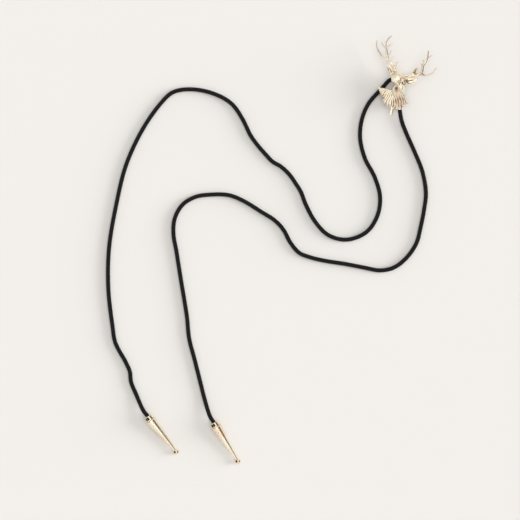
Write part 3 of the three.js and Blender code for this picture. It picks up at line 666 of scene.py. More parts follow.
def plated_group():
    """Plated cast metal: clean on the crowns, warmer in patches, dark in the hollows and black in pits, where
    painted shade and reflections are also marked.
    """
    def build(tree, given):
        place = node(tree, "ShaderNodeTexCoord").outputs["Object"]
        patches = noise(tree, place, given["Patch scale"], 3.0)
        grain = noise(tree, place, given["Grain scale"], 4.0)
        plating = mixed(tree, spread(tree, patches, 0.42, 0.66), given["Clean"], given["Warm"])
        # Brown where the plating is toned, and where warm reflections are painted
        plating = mixed(tree, given["Toning and painted reflection"], plating, given["Toned and reflected"])
        speckle = maths(tree, "MULTIPLY", maths(tree, "SUBTRACT", grain, 0.5), 0.3)
        edge = maths(tree, "ADD", given["Hollow"], speckle)
        dark = maths(tree, "MULTIPLY", spread(tree, edge, given["Tarnish start"], 1.0), given["Tarnish"])
        wear = maths(tree, "MULTIPLY", spread(tree, grain, 0.3, 0.8), 0.08)
        dull = maths(tree, "MULTIPLY", dark, 0.3)
        rough = maths(tree, "ADD", maths(tree, "ADD", given["Polish"], wear), dull)
        finish = mixed(tree, dark, plating, given["Tarnish and shade colour"])
        pit = spread(tree, given["Hollow"], 1.05, 1.45)
        return {"Colour": mixed(tree, pit, finish, PIT_AND_SHADE_COLOUR), "Roughness": rough, "Height": grain}

    return node_group("Plated metal", [
        ("Clean", COLOUR, WHITE), ("Warm", COLOUR, WHITE), ("Tarnish and shade colour", COLOUR, BLACK),
        ("Toned and reflected", COLOUR, WHITE), ("Toning and painted reflection", FLOAT, 0.0), ("Hollow", FLOAT, 0.0),
        ("Tarnish start", FLOAT, 0.6), ("Tarnish", FLOAT, 1.0), ("Polish", FLOAT, 0.15),
        ("Patch scale", FLOAT, 150.0), ("Grain scale", FLOAT, 2500.0),
    ], build)


def metal_material(name, metal, polish, tarnish_start=0.6, tarnish_share=1.0, patch_scale=150.0,
                   grain_scale=2500.0, bump=0.05):
    """Plated metal whose dark hollows, brown toning, painted shade and painted reflections follow the mesh.
    """
    material, tree, shader = new_material(name)
    finish = placed_group(tree, plated_group(), {
        "Clean": rgba(metal.clean), "Warm": rgba(metal.warm), "Tarnish and shade colour": rgba(metal.tarnish_and_shade),
        "Toned and reflected": rgba(metal.toned_and_reflected), "Toning and painted reflection": attribute(tree, "toning_and_painted_reflection"), "Hollow": attribute(tree, "hollow"),
        "Tarnish start": tarnish_start, "Tarnish": tarnish_share, "Polish": polish,
        "Patch scale": patch_scale, "Grain scale": grain_scale,
    })
    finished(tree, shader, finish, bump, 0.00005)
    shader.inputs["Metallic"].default_value = 1.0
    return material


def braid_group():
    """Plaited cord: painted shade in the hollows, worn crowns and fine threads along each plait."""
    def build(tree, given):
        threads = node(tree, "ShaderNodeTexWave", {"Vector": given["Lay"], "Scale": given["Thread scale"],
                                                   "Distortion": 1.5, "Detail": 2.0}).outputs["Fac"]
        place = node(tree, "ShaderNodeTexCoord").outputs["Object"]
        fluff = noise(tree, place, given["Fluff scale"], 3.0)
        # Painted shade between the plaits
        tone = mixed(tree, spread(tree, given["Hollow"], 0.15, 0.85), given["Crown"], given["Between"])
        worn = maths(tree, "MULTIPLY", spread(tree, fluff, 0.45, 0.75), 0.35)
        rough = maths(tree, "ADD", 0.34, maths(tree, "MULTIPLY", fluff, 0.25))
        height = maths(tree, "MULTIPLY", maths(tree, "ADD", threads, fluff), 0.5)
        return {"Colour": mixed(tree, worn, tone, given["Worn"]), "Roughness": rough, "Height": height}

    return node_group("Braid", [
        ("Crown", COLOUR, BLACK), ("Between", COLOUR, BLACK), ("Worn", COLOUR, BLACK), ("Hollow", FLOAT, 0.0),
        ("Lay", "NodeSocketVector", None), ("Thread scale", FLOAT, 8.0), ("Fluff scale", FLOAT, 900.0),
    ], build)


def cord_material(settings):
    found = bpy.data.materials.get("plaited_black")
    if found:
        return found
    material, tree, shader = new_material("plaited_black")
    finish = placed_group(tree, braid_group(), {
        "Crown": rgba(settings.crown), "Between": rgba(settings.hollow), "Worn": rgba(settings.worn),
        "Hollow": attribute(tree, "hollow"), "Lay": node(tree, "ShaderNodeUVMap", uv_map="lay").outputs["UV"],
    })
    finished(tree, shader, finish, 0.35, 0.00006)
    shader.inputs["Specular IOR Level"].default_value = 0.17
    return material


# Points on the guides and in the tips
def heading_vector(degrees):
    return np.array([math.cos(math.radians(degrees)), math.sin(math.radians(degrees)), 0.0])


def guide_point(guide, distance):
    return np.array([guide[0], guide[1], CLASP_CORD_Z]) + distance * heading_vector(guide[2])


def tip_axis(mouth):
    return heading_vector(mouth[2]) * math.cos(TIP_SLOPE) + np.array([0.0, 0.0, -math.sin(TIP_SLOPE)])


def tip_point(mouth, depth):
    return np.array([mouth[0], mouth[1], TIP_MOUTH_Z]) + depth * tip_axis(mouth)


def strand_points(guide, route, mouth):
    """A strand that comes down from its guide, lies on the table and rises into its tip."""
    falls = [STRAND_FALL[i] if i < len(STRAND_FALL) else 0.0 for i in range(len(route))]
    lying = [(x, y, CORD_Z + fall * (CLASP_CORD_Z - CORD_Z)) for (x, y), fall in zip(route, falls)]
    rise = tip_point(mouth, -TIP_APPROACH)
    rise[2] = CORD_Z + 0.75 * (TIP_MOUTH_Z - CORD_Z)
    end = TIP_SOCKET_DEPTH - SEAT_GAP
    return [
        guide_point(guide, -SEAT_GAP / 2), guide_point(guide, -GUIDE_LENGTH / 2 - GUIDE_RUN_OUT),
        *lying, rise,
        tip_point(mouth, 0.0), tip_point(mouth, end * 0.6), tip_point(mouth, end),
    ]


def loop_points():
    return [guide_point(LEFT_GUIDE, SEAT_GAP / 2), *[(x, y, CLASP_CORD_Z) for x, y in LOOP_ROUTE],
            guide_point(RIGHT_GUIDE, SEAT_GAP / 2)]


def braided_cord(name, points, settings, replaced):
    """A braided cord along a route: plaits cross over and under one another in two directions."""
    path = smooth_path(points, settings.ring_spacing / MM)
    _, side, up = ring_frames(path)
    sides, plaits = settings.sides, settings.plaits
    run = np.concatenate([[0.0], np.cumsum(np.linalg.norm(np.diff(path, axis=0), axis=1))])
    turn = np.linspace(0.0, 2 * math.pi, sides, endpoint=False)
    round_way = plaits * turn[None, :] / (2 * math.pi)
    long_way = run[:, None] * MM / settings.rib_pitch
    first, second = round_way + long_way, round_way - long_way
    over = 0.5 + 0.5 * np.cos(math.pi * (second + np.round(first)))
    under = 0.5 - 0.5 * np.cos(math.pi * (first + np.round(second)))
    one_way, other_way = (np.sqrt(np.abs(np.cos(math.pi * way))) for way in (first, second))
    crest = np.maximum(one_way * over, other_way * under)
    radius = settings.diameter / MM / 2 - settings.rib_depth / MM * (1 - crest)
    rings = tube_points(path, radius, sides, side, up)
    faces = ring_faces(len(path), sides)
    mesh = new_mesh(name, rings.reshape(-1, 3), facing_out_ring(rings, faces))
    write_attribute(mesh, "hollow", 1 - crest.ravel())
    write_lay(mesh, run, sides)
    piece = placed(name, mesh, cord_material(settings), "slide", "braided_cord", replaced)
    return piece, (path * MM).tolist()


def facing_out_ring(rings, faces):
    """Ring faces turned so that the first quad looks away from the ring's middle."""
    middle = rings[0].mean(axis=0)
    flat = rings.reshape(-1, 3)
    a, b, c = (flat[i] for i in faces[0][:3])
    outward = np.dot(np.cross(b - a, c - a), a - middle) > 0
    return faces if outward else [face[::-1] for face in faces]


def write_lay(mesh, run, sides):
    """A UV map: round the cord, and along it in multiples of its thickness."""
    corners = np.empty(len(mesh.loops), np.int32)
    mesh.loops.foreach_get("vertex_index", corners)
    starts = np.empty(len(mesh.polygons), np.int32)
    sizes = np.empty(len(mesh.polygons), np.int32)
    mesh.polygons.foreach_get("loop_start", starts)
    mesh.polygons.foreach_get("loop_total", sizes)
    owner = np.repeat(np.arange(len(sizes)), sizes)
    column = corners % sides
    highest = np.maximum.reduceat(column, starts)[owner]
    lowest = np.minimum.reduceat(column, starts)[owner]
    wraps = (highest - lowest > sides / 2) & (column < sides / 2)
    uv = np.stack([(column + wraps * sides) / sides, run[corners // sides] / CORD_GIRTH], axis=1)
    layer = mesh.uv_layers.new(name="lay")
    layer.data.foreach_set("uv", uv.astype(np.float32).ravel())


# Cone tips
def tip_profile():
    """Rows of radius, depth and hollowness along a tip, from the end of its bore to the end of its ball."""
    rows = []

    def add(radius, depth, hollow=0.0):
        rows.append((radius, depth, hollow))

    bore = CORD_Z + SEAT_GAP
    add(0.0, TIP_SOCKET_DEPTH, 1.0)
    add(bore, TIP_SOCKET_DEPTH, 1.0)
    for share in np.linspace(0, 1, BORE_ROWS):
        add(bore, TIP_SOCKET_DEPTH * (1 - (1 - TIP_BORE_SHARE) * share), 1.0)
    for share in np.linspace(0.1, 0.95, TAPER_ROWS):
        add(bore + share * (TIP_MOUTH_BORE - bore), TIP_SOCKET_DEPTH * TIP_BORE_SHARE * (1 - share),
            0.9 - 0.8 * share)
    rim = (TIP_MOUTH_RADIUS - TIP_MOUTH_BORE) / 2
    for turn in np.linspace(0, math.pi, RIM_ROWS):
        add(TIP_MOUTH_RADIUS - rim - rim * math.cos(turn), rim * (1 - math.sin(turn)) * 0.8)
    for share in np.linspace(0.1, 0.95, 30):
        add(TIP_MOUTH_RADIUS + 0.15 * share, TIP_COLLAR_LENGTH * share)
    lip = TIP_MOUTH_RADIUS + TIP_COLLAR_SWELL
    groove = TIP_COLLAR_LENGTH + TIP_GROOVE_AFTER
    for share in np.linspace(-1, 1, 13):
        dip = math.cos(share * math.pi / 2) ** 2
        add(lip - TIP_GROOVE_DEPTH * dip, groove + TIP_GROOVE_HALF * share, dip)
    past = groove + TIP_GROOVE_HALF
    for share in np.linspace(0.1, 1, 6):
        add(lip + (TIP_WIDEST_RADIUS - lip) * math.sin(share * math.pi / 2),
            past + (TIP_WIDEST_AT - past) * share)
    start = math.asin(TIP_NECK_RADIUS / TIP_BALL_RADIUS)
    neck_at = TIP_LENGTH - TIP_BALL_RADIUS * math.cos(start)
    for share in np.linspace(0, 1, 180)[1:]:
        add(TIP_WIDEST_RADIUS + share * (TIP_NECK_RADIUS - TIP_WIDEST_RADIUS),
            TIP_WIDEST_AT + share * (neck_at - TIP_WIDEST_AT), max(0.0, share - 0.97) * 20)
    for turn in np.linspace(start, math.pi, 26)[1:-1]:
        add(TIP_BALL_RADIUS * math.sin(turn), TIP_LENGTH - TIP_BALL_RADIUS * math.cos(turn))
    add(0.0, TIP_LENGTH + TIP_BALL_RADIUS)
    return np.array(rows)


def engraved_dots(turn, depth):
    """1 in the rows of engraved dots on the cone and 0 between them."""
    row = np.floor((depth - DOTS_START) / DOTS_PITCH)
    along = depth - DOTS_START - (row + 0.5) * DOTS_PITCH
    place = turn / (2 * math.pi) * DOTS_ROUND + 0.5 * (row % 2) + 0.15
    across = (place % 1 - 0.5) * 2 * math.pi / DOTS_ROUND
    taper = (TIP_NECK_RADIUS - TIP_WIDEST_RADIUS) / (TIP_LENGTH - TIP_WIDEST_AT)
    radius = TIP_WIDEST_RADIUS + (depth - TIP_WIDEST_AT) * taper
    half_across, half_along = DOTS_HALF
    dot = np.clip(1.3 * (1 - (across * radius / half_across) ** 2 - (along / half_along) ** 2), 0, 1)
    return np.where((depth > DOTS_START) & (depth < DOTS_START + DOTS_ROWS * DOTS_PITCH), dot, 0.0)


def collar_crimps(turn, depth):
    """1 in the two small square crimps that hold the cord in the collar and 0 round them."""
    crimps = 0.0
    for middle in CRIMPS:
        across = np.abs((np.degrees(turn) - middle + 180) % 360 - 180) / CRIMP_HALF[0]
        along = np.abs(depth - CRIMP_MIDDLE) / CRIMP_HALF[1]
        crimps = crimps + np.clip(7 * (1 - np.maximum(across, along)), 0, 1)
    return crimps * (depth < TIP_COLLAR_LENGTH)


def cone_tip(name, mouth, material, replaced):
    """A turned and polished cone with a collar, a groove, a ball and rows of small engraved marks."""
    profile = tip_profile()
    sides = TIP_SIDES
    turn = np.linspace(0.0, 2 * math.pi, sides, endpoint=False)
    axis = tip_axis(mouth)
    side = unit(np.cross((0.0, 0.0, 1.0), axis))
    up = np.cross(axis, side)
    body = profile[1:-1]
    outside = np.arange(len(body))[:, None] >= BORE_ROWS + TAPER_ROWS + RIM_ROWS
    marks = engraved_dots(turn[None, :], body[:, 1][:, None]) * outside
    crimps = collar_crimps(turn[None, :], body[:, 1][:, None]) * outside
    radius = body[:, 0][:, None] - DOTS_DEPTH * marks - CRIMP_DEPTH * crimps
    base = tip_point(mouth, 0.0)
    rings = base + body[:, 1][:, None, None] * axis + radius[..., None] * (
        np.cos(turn)[None, :, None] * side + np.sin(turn)[None, :, None] * up)
    points = np.vstack([rings.reshape(-1, 3), base + profile[0, 1] * axis, base + profile[-1, 1] * axis])
    faces = ring_faces(len(body), sides, closed_ends=False)
    first, last = len(points) - 2, len(points) - 1
    start = (len(body) - 1) * sides
    faces += [[first, (i + 1) % sides, i] for i in range(sides)]
    faces += [[last, start + i, start + (i + 1) % sides] for i in range(sides)]
    mesh = new_mesh(name, points, facing_out(points, faces))
    hollow = np.maximum(np.maximum(body[:, 2][:, None], 0.9 * marks), 1.5 * crimps)
    # Painted dark reflections on the ball, written as hollowness so that they turn dark or black
    for centre, radius, depth in BALL_PAINTED_REFLECTIONS:
        middle = tip_point(mouth, TIP_LENGTH) + TIP_BALL_RADIUS * unit(np.array(centre))
        share = np.clip(1.25 * (1 - (np.linalg.norm(rings - middle, axis=2) / radius) ** 2), 0, 1)
        hollow = np.maximum(hollow, depth * share)
    write_attribute(mesh, "hollow", np.concatenate([hollow.ravel(), [1.0, 0.0]]))
    return placed(name, mesh, material, "slide", "tip_metal", replaced)


# Stag's bust
def on_head(place):
    down, across, front = place
    x, y = POLL[0] + across * HEAD_WIDTH, POLL[1] - down * HEAD_LENGTH
    return np.array([x, y, BUST_BACK + front * HEAD_DEPTH])


def lock_ridges(x, y):
    """Relief of the fur locks that hang from the nape, and how near each point is to a groove."""
    chance = np.random.default_rng(LOCK_SEED)
    turn = np.degrees(np.arctan2(y - LOCK_ROOT[1], x - LOCK_ROOT[0])) % 360
    away = np.hypot(x - LOCK_ROOT[0], y - LOCK_ROOT[1])
    fan = 0.16 * np.maximum(away - 5.0, 0) * (turn - 262) / 12
    turn = turn + fan + 1.3 * np.sin(away * 0.9 + turn * 0.11)
    edges = np.cumsum(chance.uniform(*LOCK_WIDTHS, LOCK_COUNT)) + LOCK_FIRST
    lock = np.clip(np.searchsorted(edges, turn, side="right") - 1, 0, len(edges) - 2)
    inside = np.clip((turn - edges[lock]) / (edges[lock + 1] - edges[lock]), 0, 1)
    crown = np.sin(math.pi * inside) ** 0.4
    tall = chance.uniform(0.72, 1.1, len(edges))[lock]
    fine = np.abs(np.sin(3 * math.pi * inside + 0.6 * np.sin(away * 1.7))) ** 0.6
    groove = np.clip(1 - np.minimum(inside, 1 - inside) / 0.12, 0, 1)
    return crown * tall * (0.86 + 0.14 * fine), groove


def ruff_part():
    """A fan of fur locks that thins from the throat to its tufted edge, flat behind."""
    columns, bands = RUFF_COLUMNS, RUFF_BANDS
    turn = np.linspace(RUFF_OUTLINE[0][0], RUFF_OUTLINE[-1][0], columns)
    reach = np.interp(turn, [t for t, _ in RUFF_OUTLINE], [r for _, r in RUFF_OUTLINE]) * RUFF_REACH
    angle = np.radians(turn)
    edge_x, edge_y = THROAT[0] + reach * np.cos(angle), THROAT[1] + reach * np.sin(angle)
    tuft, _ = lock_ridges(edge_x, edge_y)
    reach = reach * (0.945 + 0.06 * tuft)
    band = np.sin(np.linspace(0, math.pi / 2, bands))
    radius = reach[:, None] * band[None, :]
    x = THROAT[0] + radius * np.cos(angle)[:, None]
    y = THROAT[1] + radius * np.sin(angle)[:, None]
    crown = RUFF_EDGE + (RUFF_DEPTH - RUFF_EDGE) * np.sqrt(np.clip(1 - band ** 2, 0, 1))
    ridge, _ = lock_ridges(x, y)
    height = crown[None, :] + RUFF_RIDGE_HEIGHT * (ridge - 0.25) * np.clip(band * 1.9, 0, 1)[None, :]
    front = np.stack([x, y, BUST_BACK + height], axis=-1)
    back = np.stack([x, y, np.full_like(x, BUST_BACK)], axis=-1)
    points = np.concatenate([front.reshape(-1, 3), back.reshape(-1, 3)])
    behind = columns * bands
    faces = []
    for c in range(columns - 1):
        for b in range(bands - 1):
            i = c * bands + b
            faces.append([i, i + 1, i + bands + 1, i + bands])
            faces.append([behind + i, behind + i + bands, behind + i + bands + 1, behind + i + 1])
        edge = c * bands + bands - 1
        faces.append([edge, behind + edge, behind + edge + bands, edge + bands])
    for b in range(bands - 1):
        faces.append([b, behind + b, behind + b + 1, b + 1])
        i = (columns - 1) * bands + b
        faces.append([i, i + 1, behind + i + 1, behind + i])
    return points, faces


def leaf_part(ear):
    """A cupped leaf, an ear or the brow palm: rounded behind and hollow in front."""
    root = on_head(ear["root"])
    along = heading_vector(ear["heading"])
    side = np.cross((0.0, 0.0, 1.0), along)
    share = np.linspace(0, 1, 44)
    half = np.interp(share, (0, 0.2, 0.45, 0.68, 0.88, 1.0), (0.22, 0.4, 0.5, 0.43, 0.24, 0.05))
    half = np.convolve(np.pad(half, 3, mode="edge"), np.ones(7) / 7, mode="valid")
    turn = np.linspace(0, math.pi, 18)
    rings = []
    for s, h in zip(share, half):
        wide, deep = h * ear["width"], h * ear["depth"]
        cup = 0.4 * np.clip((s - 0.14) / 0.2, 0, 1) * np.clip((1 - s) / 0.12, 0, 1)
        sink = cup * 1.7 * deep - 0.3 * deep * (1 - cup)
        back = [(wide * math.cos(t), -deep * math.sin(t)) for t in turn]
        front = [(wide * 0.86 * math.cos(t), 0.25 * deep - sink * math.sin(t)) for t in turn[::-1]]
        ring = back + front
        middle = root + s * ear["length"] * along
        rings.append([middle + a * side + np.array([0.0, 0.0, b]) for a, b in ring])
    rings = np.array(rings)
    return rings.reshape(-1, 3), ring_faces(len(rings), rings.shape[1])


def oval(x, y, patch, most):
    """How much of a finish lies in an oval patch in plan, fading towards its edge."""
    middle_x, middle_y, half_x, half_y = patch
    return np.clip(most - np.hypot((x - middle_x) / half_x, (y - middle_y) / half_y), 0, 1)


def out_on_antlers(x, y, fade):
    """0 near the head and 1 out along the antlers."""
    return np.clip((np.hypot(x - POLL[0], y - POLL[1]) - 9.5) / fade, 0, 1) * (y > 9.0)


def toning_and_painted_reflection(points):
    """Brown colour: painted warm reflections low on the ruff and at the throat, and toning on the antlers'
    ends.
    """
    x, y, z = points.T
    low = oval(x, y, RUFF_PAINTED_REFLECTION, 1.2) * (z < BUST_BACK + 6)
    throat = oval(x, y, THROAT_PAINTED_REFLECTION, 1.3) * (z < BUST_BACK + 8)
    antlers = 0.3 * out_on_antlers(x, y, 6)
    patches = 0.5 + 0.5 * np.sin(0.9 * x + 1.1 * np.sin(0.7 * y)) * np.sin(0.8 * y + 1.3)
    return np.clip(np.maximum(np.maximum(low, throat), antlers) * (0.7 + 0.5 * patches), 0, 1)


def patina_and_painted_shade(points, normals):
    """More dark finish in the ear cups, between locks and on the antlers; painted shade on their right flanks
    and under the jaw.
    """
    shade = np.zeros(len(points))
    for ear in LEAVES:
        root = on_head(ear["root"])
        along = heading_vector(ear["heading"])
        share = (points - root) @ along / ear["length"]
        across = (points - root) @ np.cross((0.0, 0.0, 1.0), along) / (0.36 * ear["width"])
        inside = np.clip(1.1 - ((share - 0.55) / 0.4) ** 2 - across ** 2, 0, 1)
        slot = np.clip(1.2 - ((share - 0.5) / 0.28) ** 2 - (across / 0.24) ** 2, 0, 1)
        below = np.clip((root[2] + 0.15 - points[:, 2]) / 0.4, 0, 1)
        shade += (0.08 * inside + 0.42 * slot) * below * (normals[:, 2] > 0)
    x, y, z = points.T
    # Dark finish along the antlers, and painted shade on the flank that faces right, set by the normal as
    # light falls
    shade += out_on_antlers(x, y, 3) * (0.1 + 1.3 * np.clip(1.6 * normals[:, 0] - 0.15, 0, 1))
    # Painted shadow under the jaw, darkest at the throat
    shade += 0.75 * oval(x, y, THROAT_PAINTED_SHADOW, 1.25) * (z < BUST_BACK + 8)
    _, groove = lock_ridges(x, y)
    return shade + 0.78 * groove * on_ruff(points) * np.clip(normals[:, 2] * 3, 0, 1)


def on_ruff(points):
    """1 on the fur of the chest and 0 on the head and ears."""
    return np.clip((BUST_BACK + 7.5 - points[:, 2]) / 1.5, 0, 1) * np.clip((6.0 - points[:, 1]) / 2, 0, 1)


def off_the_fur(points):
    """1 on the ears and antlers, where the skin is smooth, and 0 on the head and ruff."""
    share = np.clip((points[:, 1] - 11.5) / 2, 0, 1)
    for leaf in LEAVES:
        middle = on_head(leaf["root"]) + 0.55 * leaf["length"] * heading_vector(leaf["heading"])
        away = np.linalg.norm(points - middle, axis=1) / (0.3 * leaf["length"])
        share = np.maximum(share, np.clip(2.2 - away, 0, 1))
    return share


def antler_parts(branches):
    origin = np.array([*POLL, BUST_BACK])
    parts = []
    for start, end, shares in branches:
        points = origin + ANTLER_HEIGHT * np.array(shares)
        parts.append(rod(points, ANTLER_BEAM * start, max(ANTLER_TIP, ANTLER_BEAM * end), 16, 0.3))
    return parts


def ball_part(centre, radius):
    """A closed ball of rings that are never upright."""
    rings, sides = 18, 24
    down = np.linspace(0.02, math.pi - 0.02, rings)[:, None]
    turn = np.linspace(0, 2 * math.pi, sides, endpoint=False)[None, :]
    along = np.repeat(np.cos(down), sides, axis=1)
    ball = np.stack([np.sin(down) * np.cos(turn), along, np.sin(down) * np.sin(turn)], axis=-1)
    return (np.asarray(centre) + radius * ball).reshape(-1, 3), ring_faces(rings, sides)


def stud_part(place, radius, bottom, top):
    """A short upright round post."""
    long = top - bottom
    return bar_part((*place, bottom + long / 2), (0.0, 0.0, 1.0), radius, long)


def bump_at(points, centre, radius):
    """1 at a point, falling smoothly to 0 at a distance."""
    away = np.linalg.norm(points - np.asarray(centre), axis=1) / radius
    return np.clip(1 - away ** 2, 0, 1) ** 2


def near_line(points, start, end, width):
    """1 on a line between two points, falling smoothly to 0 at a distance."""
    start, end = np.asarray(start), np.asarray(end)
    along = end - start
    share = np.clip((points - start) @ along / (along @ along), 0, 1)
    away = np.linalg.norm(points - start - share[:, None] * along, axis=1) / width
    return np.clip(1 - away ** 2, 0, 1) ** 1.5


def carved(points, normals):
    """The bust's skin with its eyes, nostrils, face and fur worked in."""
    x, y, z = points.T
    down = (POLL[1] - y) / HEAD_LENGTH
    depth = np.zeros(len(points))
    on_face = (z > BUST_BACK + 0.4 * HEAD_DEPTH) & (down > -0.05) & (normals[:, 2] > -0.2)
    for eye in EYES:
        centre = on_head(eye)
        away = np.linalg.norm(points - centre, axis=1)
        depth -= 0.4 * np.exp(-((away - 1.0) / 0.26) ** 2) * on_face
        depth += 0.34 * bump_at(points, centre + np.array([0.0, 1.5, 0.2]), 1.25)
        for start, end, width, deep in EYE_LINES:
            line = near_line(points, centre + np.array(start), centre + np.array(end), width)
            depth -= deep * line * on_face
    for nostril in NOSTRILS:
        depth -= 0.55 * bump_at(points, on_head(nostril), 0.7)
    for start, end, width in CHEEK_LINES:
        depth -= CHEEK_DEPTH * near_line(points, start, end, width) * on_face
    for pit in EAR_PITS:
        depth -= EAR_PIT_DEPTH * bump_at(points, pit, 0.95)
    section_down, section_across, section_half = np.array(HEAD_SECTIONS).T[:3]
    middle = POLL[0] + HEAD_WIDTH * np.interp(down, section_down, section_across)
    half = HEAD_WIDTH * np.interp(down, section_down, section_half)
    off = (x - middle) / np.maximum(half, 0.5)
    hairs = np.sin((x * 0.8 + y * 0.55) * 6.5 + 1.2 * np.sin(y * 1.3 - x))
    on_cheek = np.clip((-off - 0.15) / 0.3, 0, 1) * np.clip((0.8 - down) / 0.2, 0, 1)
    forelock = np.sin((x - 3.4) * 7.5 + 1.2 * np.sin(y * 1.4)) * np.clip((0.42 - down) / 0.15, 0, 1)
    depth += 0.1 * (hairs * on_cheek + forelock) * on_face
    head_over = (down < 1.03) & (np.abs(off) < 1.15) & (z > BUST_BACK + 0.6 * HEAD_DEPTH)
    neck_fur = ~head_over & (y < 5.5) & (z > BUST_BACK + 3.0) & (down > 0.5)
    ridge, _ = lock_ridges(x, y)
    depth += 0.55 * (ridge - 0.6) * neck_fur * np.clip((z - BUST_BACK - 3.0) / 0.8, 0, 1)
    return points + depth[:, None] * normals


def bust_parts():
    neck_top = (POLL[0] + NAPE[0] * HEAD_WIDTH, POLL[1] - NAPE[1] * HEAD_LENGTH)
    parts = [
        ruff_part(),
        lofted(neck_top, (NECK_LENGTH, NECK_WIDTH, NECK_DEPTH), NECK_SECTIONS, 72, 90, 0.12),
        lofted(POLL, (HEAD_LENGTH, HEAD_WIDTH, HEAD_DEPTH), HEAD_SECTIONS, 72, 90, 0.3),
        *[leaf_part(leaf) for leaf in LEAVES],
        *antler_parts(LEFT_ANTLER), *antler_parts(RIGHT_ANTLER),
        *[ball_part(on_head(eye), EYE_RADIUS) for eye in EYES],
    ]
    head = PLATE_BOTTOM - SEAT_GAP
    for stud in STUDS:
        parts.append(stud_part(stud, STUD_RADIUS, head - 0.4, BUST_BACK + 0.65))
        parts.append(stud_part(stud, STUD_HEAD_RADIUS, head - STUD_HEAD_HEIGHT, head))
    return parts


# Cord clasp
def slab_part(outline, bottom, top):
    """A flat sheet cut to an outline in plan."""
    outline = np.asarray(outline, float)
    rings = [np.column_stack([outline, np.full(len(outline), z)]) for z in (bottom, top)]
    return np.vstack(rings), ring_faces(2, len(outline))


def tube_part(centre, axis, outer, inner, long):
    """A short tube, open at both ends."""
    sides = 72
    axis, circle = level_circle(axis, sides)
    half = 0.5 * long * axis
    edges = ((outer, -half), (outer, half), (inner, half), (inner, -half))
    rings = [centre + radius * circle + end for radius, end in edges]
    faces = [[k * sides + i, k * sides + (i + 1) % sides, (k + 1) % 4 * sides + (i + 1) % sides,
              (k + 1) % 4 * sides + i] for k in range(4) for i in range(sides)]
    return np.vstack(rings), faces


def bar_part(centre, axis, radius, long):
    """A closed round bar."""
    sides = 40
    axis, circle = level_circle(axis, sides)
    ends = [np.asarray(centre) + radius * circle + e * long * axis for e in (-0.5, 0.5)]
    return np.vstack(ends), ring_faces(2, sides)


def level_circle(axis, sides):
    """A direction made one long, and a circle of points round it."""
    axis = unit(np.asarray(axis, float))
    beside = (0.0, 0.0, 1.0) if abs(axis[2]) < 0.9 else (0.0, 1.0, 0.0)
    side = unit(np.cross(beside, axis))
    turn = np.linspace(0, 2 * math.pi, sides, endpoint=False)[:, None]
    return axis, np.cos(turn) * side + np.sin(turn) * np.cross(axis, side)


def foot_part(guide, wide, top):
    """The block under a guide, as long as the guide."""
    along = 0.5 * GUIDE_LENGTH * heading_vector(guide[2])[:2]
    side = 0.5 * wide * np.array([-along[1], along[0]]) / (0.5 * GUIDE_LENGTH)
    middle = np.array(guide[:2])
    outline = [middle - side - along, middle + side - along, middle + side + along, middle - side + along]
    return slab_part(outline, 0.0, top)


def block_part(x0, x1, y0, y1, top):
    """An upright block that stands on the table."""
    return slab_part([(x0, y0), (x1, y0), (x1, y1), (x0, y1)], 0.0, top)


def clasp_base_parts():
    half = HEEL_WIDTH / 2
    ear_end = PIN[1] - EAR_MARGIN
    parts = [
        slab_part(PLATE_OUTLINE, PLATE_BOTTOM, PLATE_TOP),
        block_part(-half, half, -HEEL_THICKNESS / 2, HEEL_THICKNESS / 2, PLATE_TOP),
        block_part(-half, -half + EAR_THICKNESS, ear_end, 0.0, PLATE_TOP),
        block_part(half - EAR_THICKNESS, half, ear_end, 0.0, PLATE_TOP),
        bar_part(PIN, (1.0, 0.0, 0.0), PIN_RADIUS, HEEL_WIDTH + 0.3),
    ]
    for guide in (LEFT_GUIDE, RIGHT_GUIDE):
        centre = np.array([guide[0], guide[1], CLASP_CORD_Z])
        parts.append(tube_part(centre, heading_vector(guide[2]), GUIDE_RADIUS, GUIDE_BORE, GUIDE_LENGTH))
        parts.append(foot_part(guide, GUIDE_FOOT_WIDTH, CLASP_CORD_Z - GUIDE_BORE - 0.1))
    return parts


def lever_parts():
    knuckle_bore = PIN_RADIUS + SEAT_GAP
    parts = [
        slab_part(LEVER_OUTLINE, LEVER_BOTTOM, LEVER_TOP),
        tube_part(np.array(PIN), (1.0, 0.0, 0.0), KNUCKLE_RADIUS, knuckle_bore, LEVER_NECK_WIDTH),
    ]
    for y in np.arange(*LEVER_RIBS):
        parts.append(bar_part((1.0, y, LEVER_TOP - 0.12), (1.0, 0.0, 0.0), RIB_RADIUS, RIB_LENGTH))
    return parts


def across_tab(points):
    """How far along the lever a point is on its tab, from 0 to 1, and how far across it, from -1 to 1."""
    share = np.clip((TAB_TOP - points[:, 1]) / 1.0, 0, 1)
    middle = TAB_MIDDLE + TAB_SWAY * (TAB_TOP - points[:, 1])
    return share, np.clip((points[:, 0] - middle) / (TAB_WIDTH / 2), -1, 1)


def crowned_tab(points):
    """The lever's sheet with its tab pressed into a low ridge, so that its long edges slope down."""
    share, across = across_tab(points)
    points[:, 2] -= TAB_CROWN * share * across ** 2
    return points


def tab_painted_shade(points):
    """How much painted shade darkens the left edge of the tab, where its crown slopes away."""
    share, across = across_tab(points)
    return 0.6 * share * np.clip((-across - 0.35) / 0.4, 0, 1)


# Dark things in the room: azimuths and elevations in degrees between which each one stands, and its colour
DARK_THINGS = [
    (-172.0, -150.0, 22.0, 44.0, (0.05, 0.04, 0.03)), (-12.0, 46.0, 16.0, 64.0, (0.2, 0.14, 0.095)),
    (80.0, 112.0, 12.0, 34.0, (0.06, 0.045, 0.03)), (-78.0, -62.0, 14.0, 30.0, (0.12, 0.08, 0.06)),
]


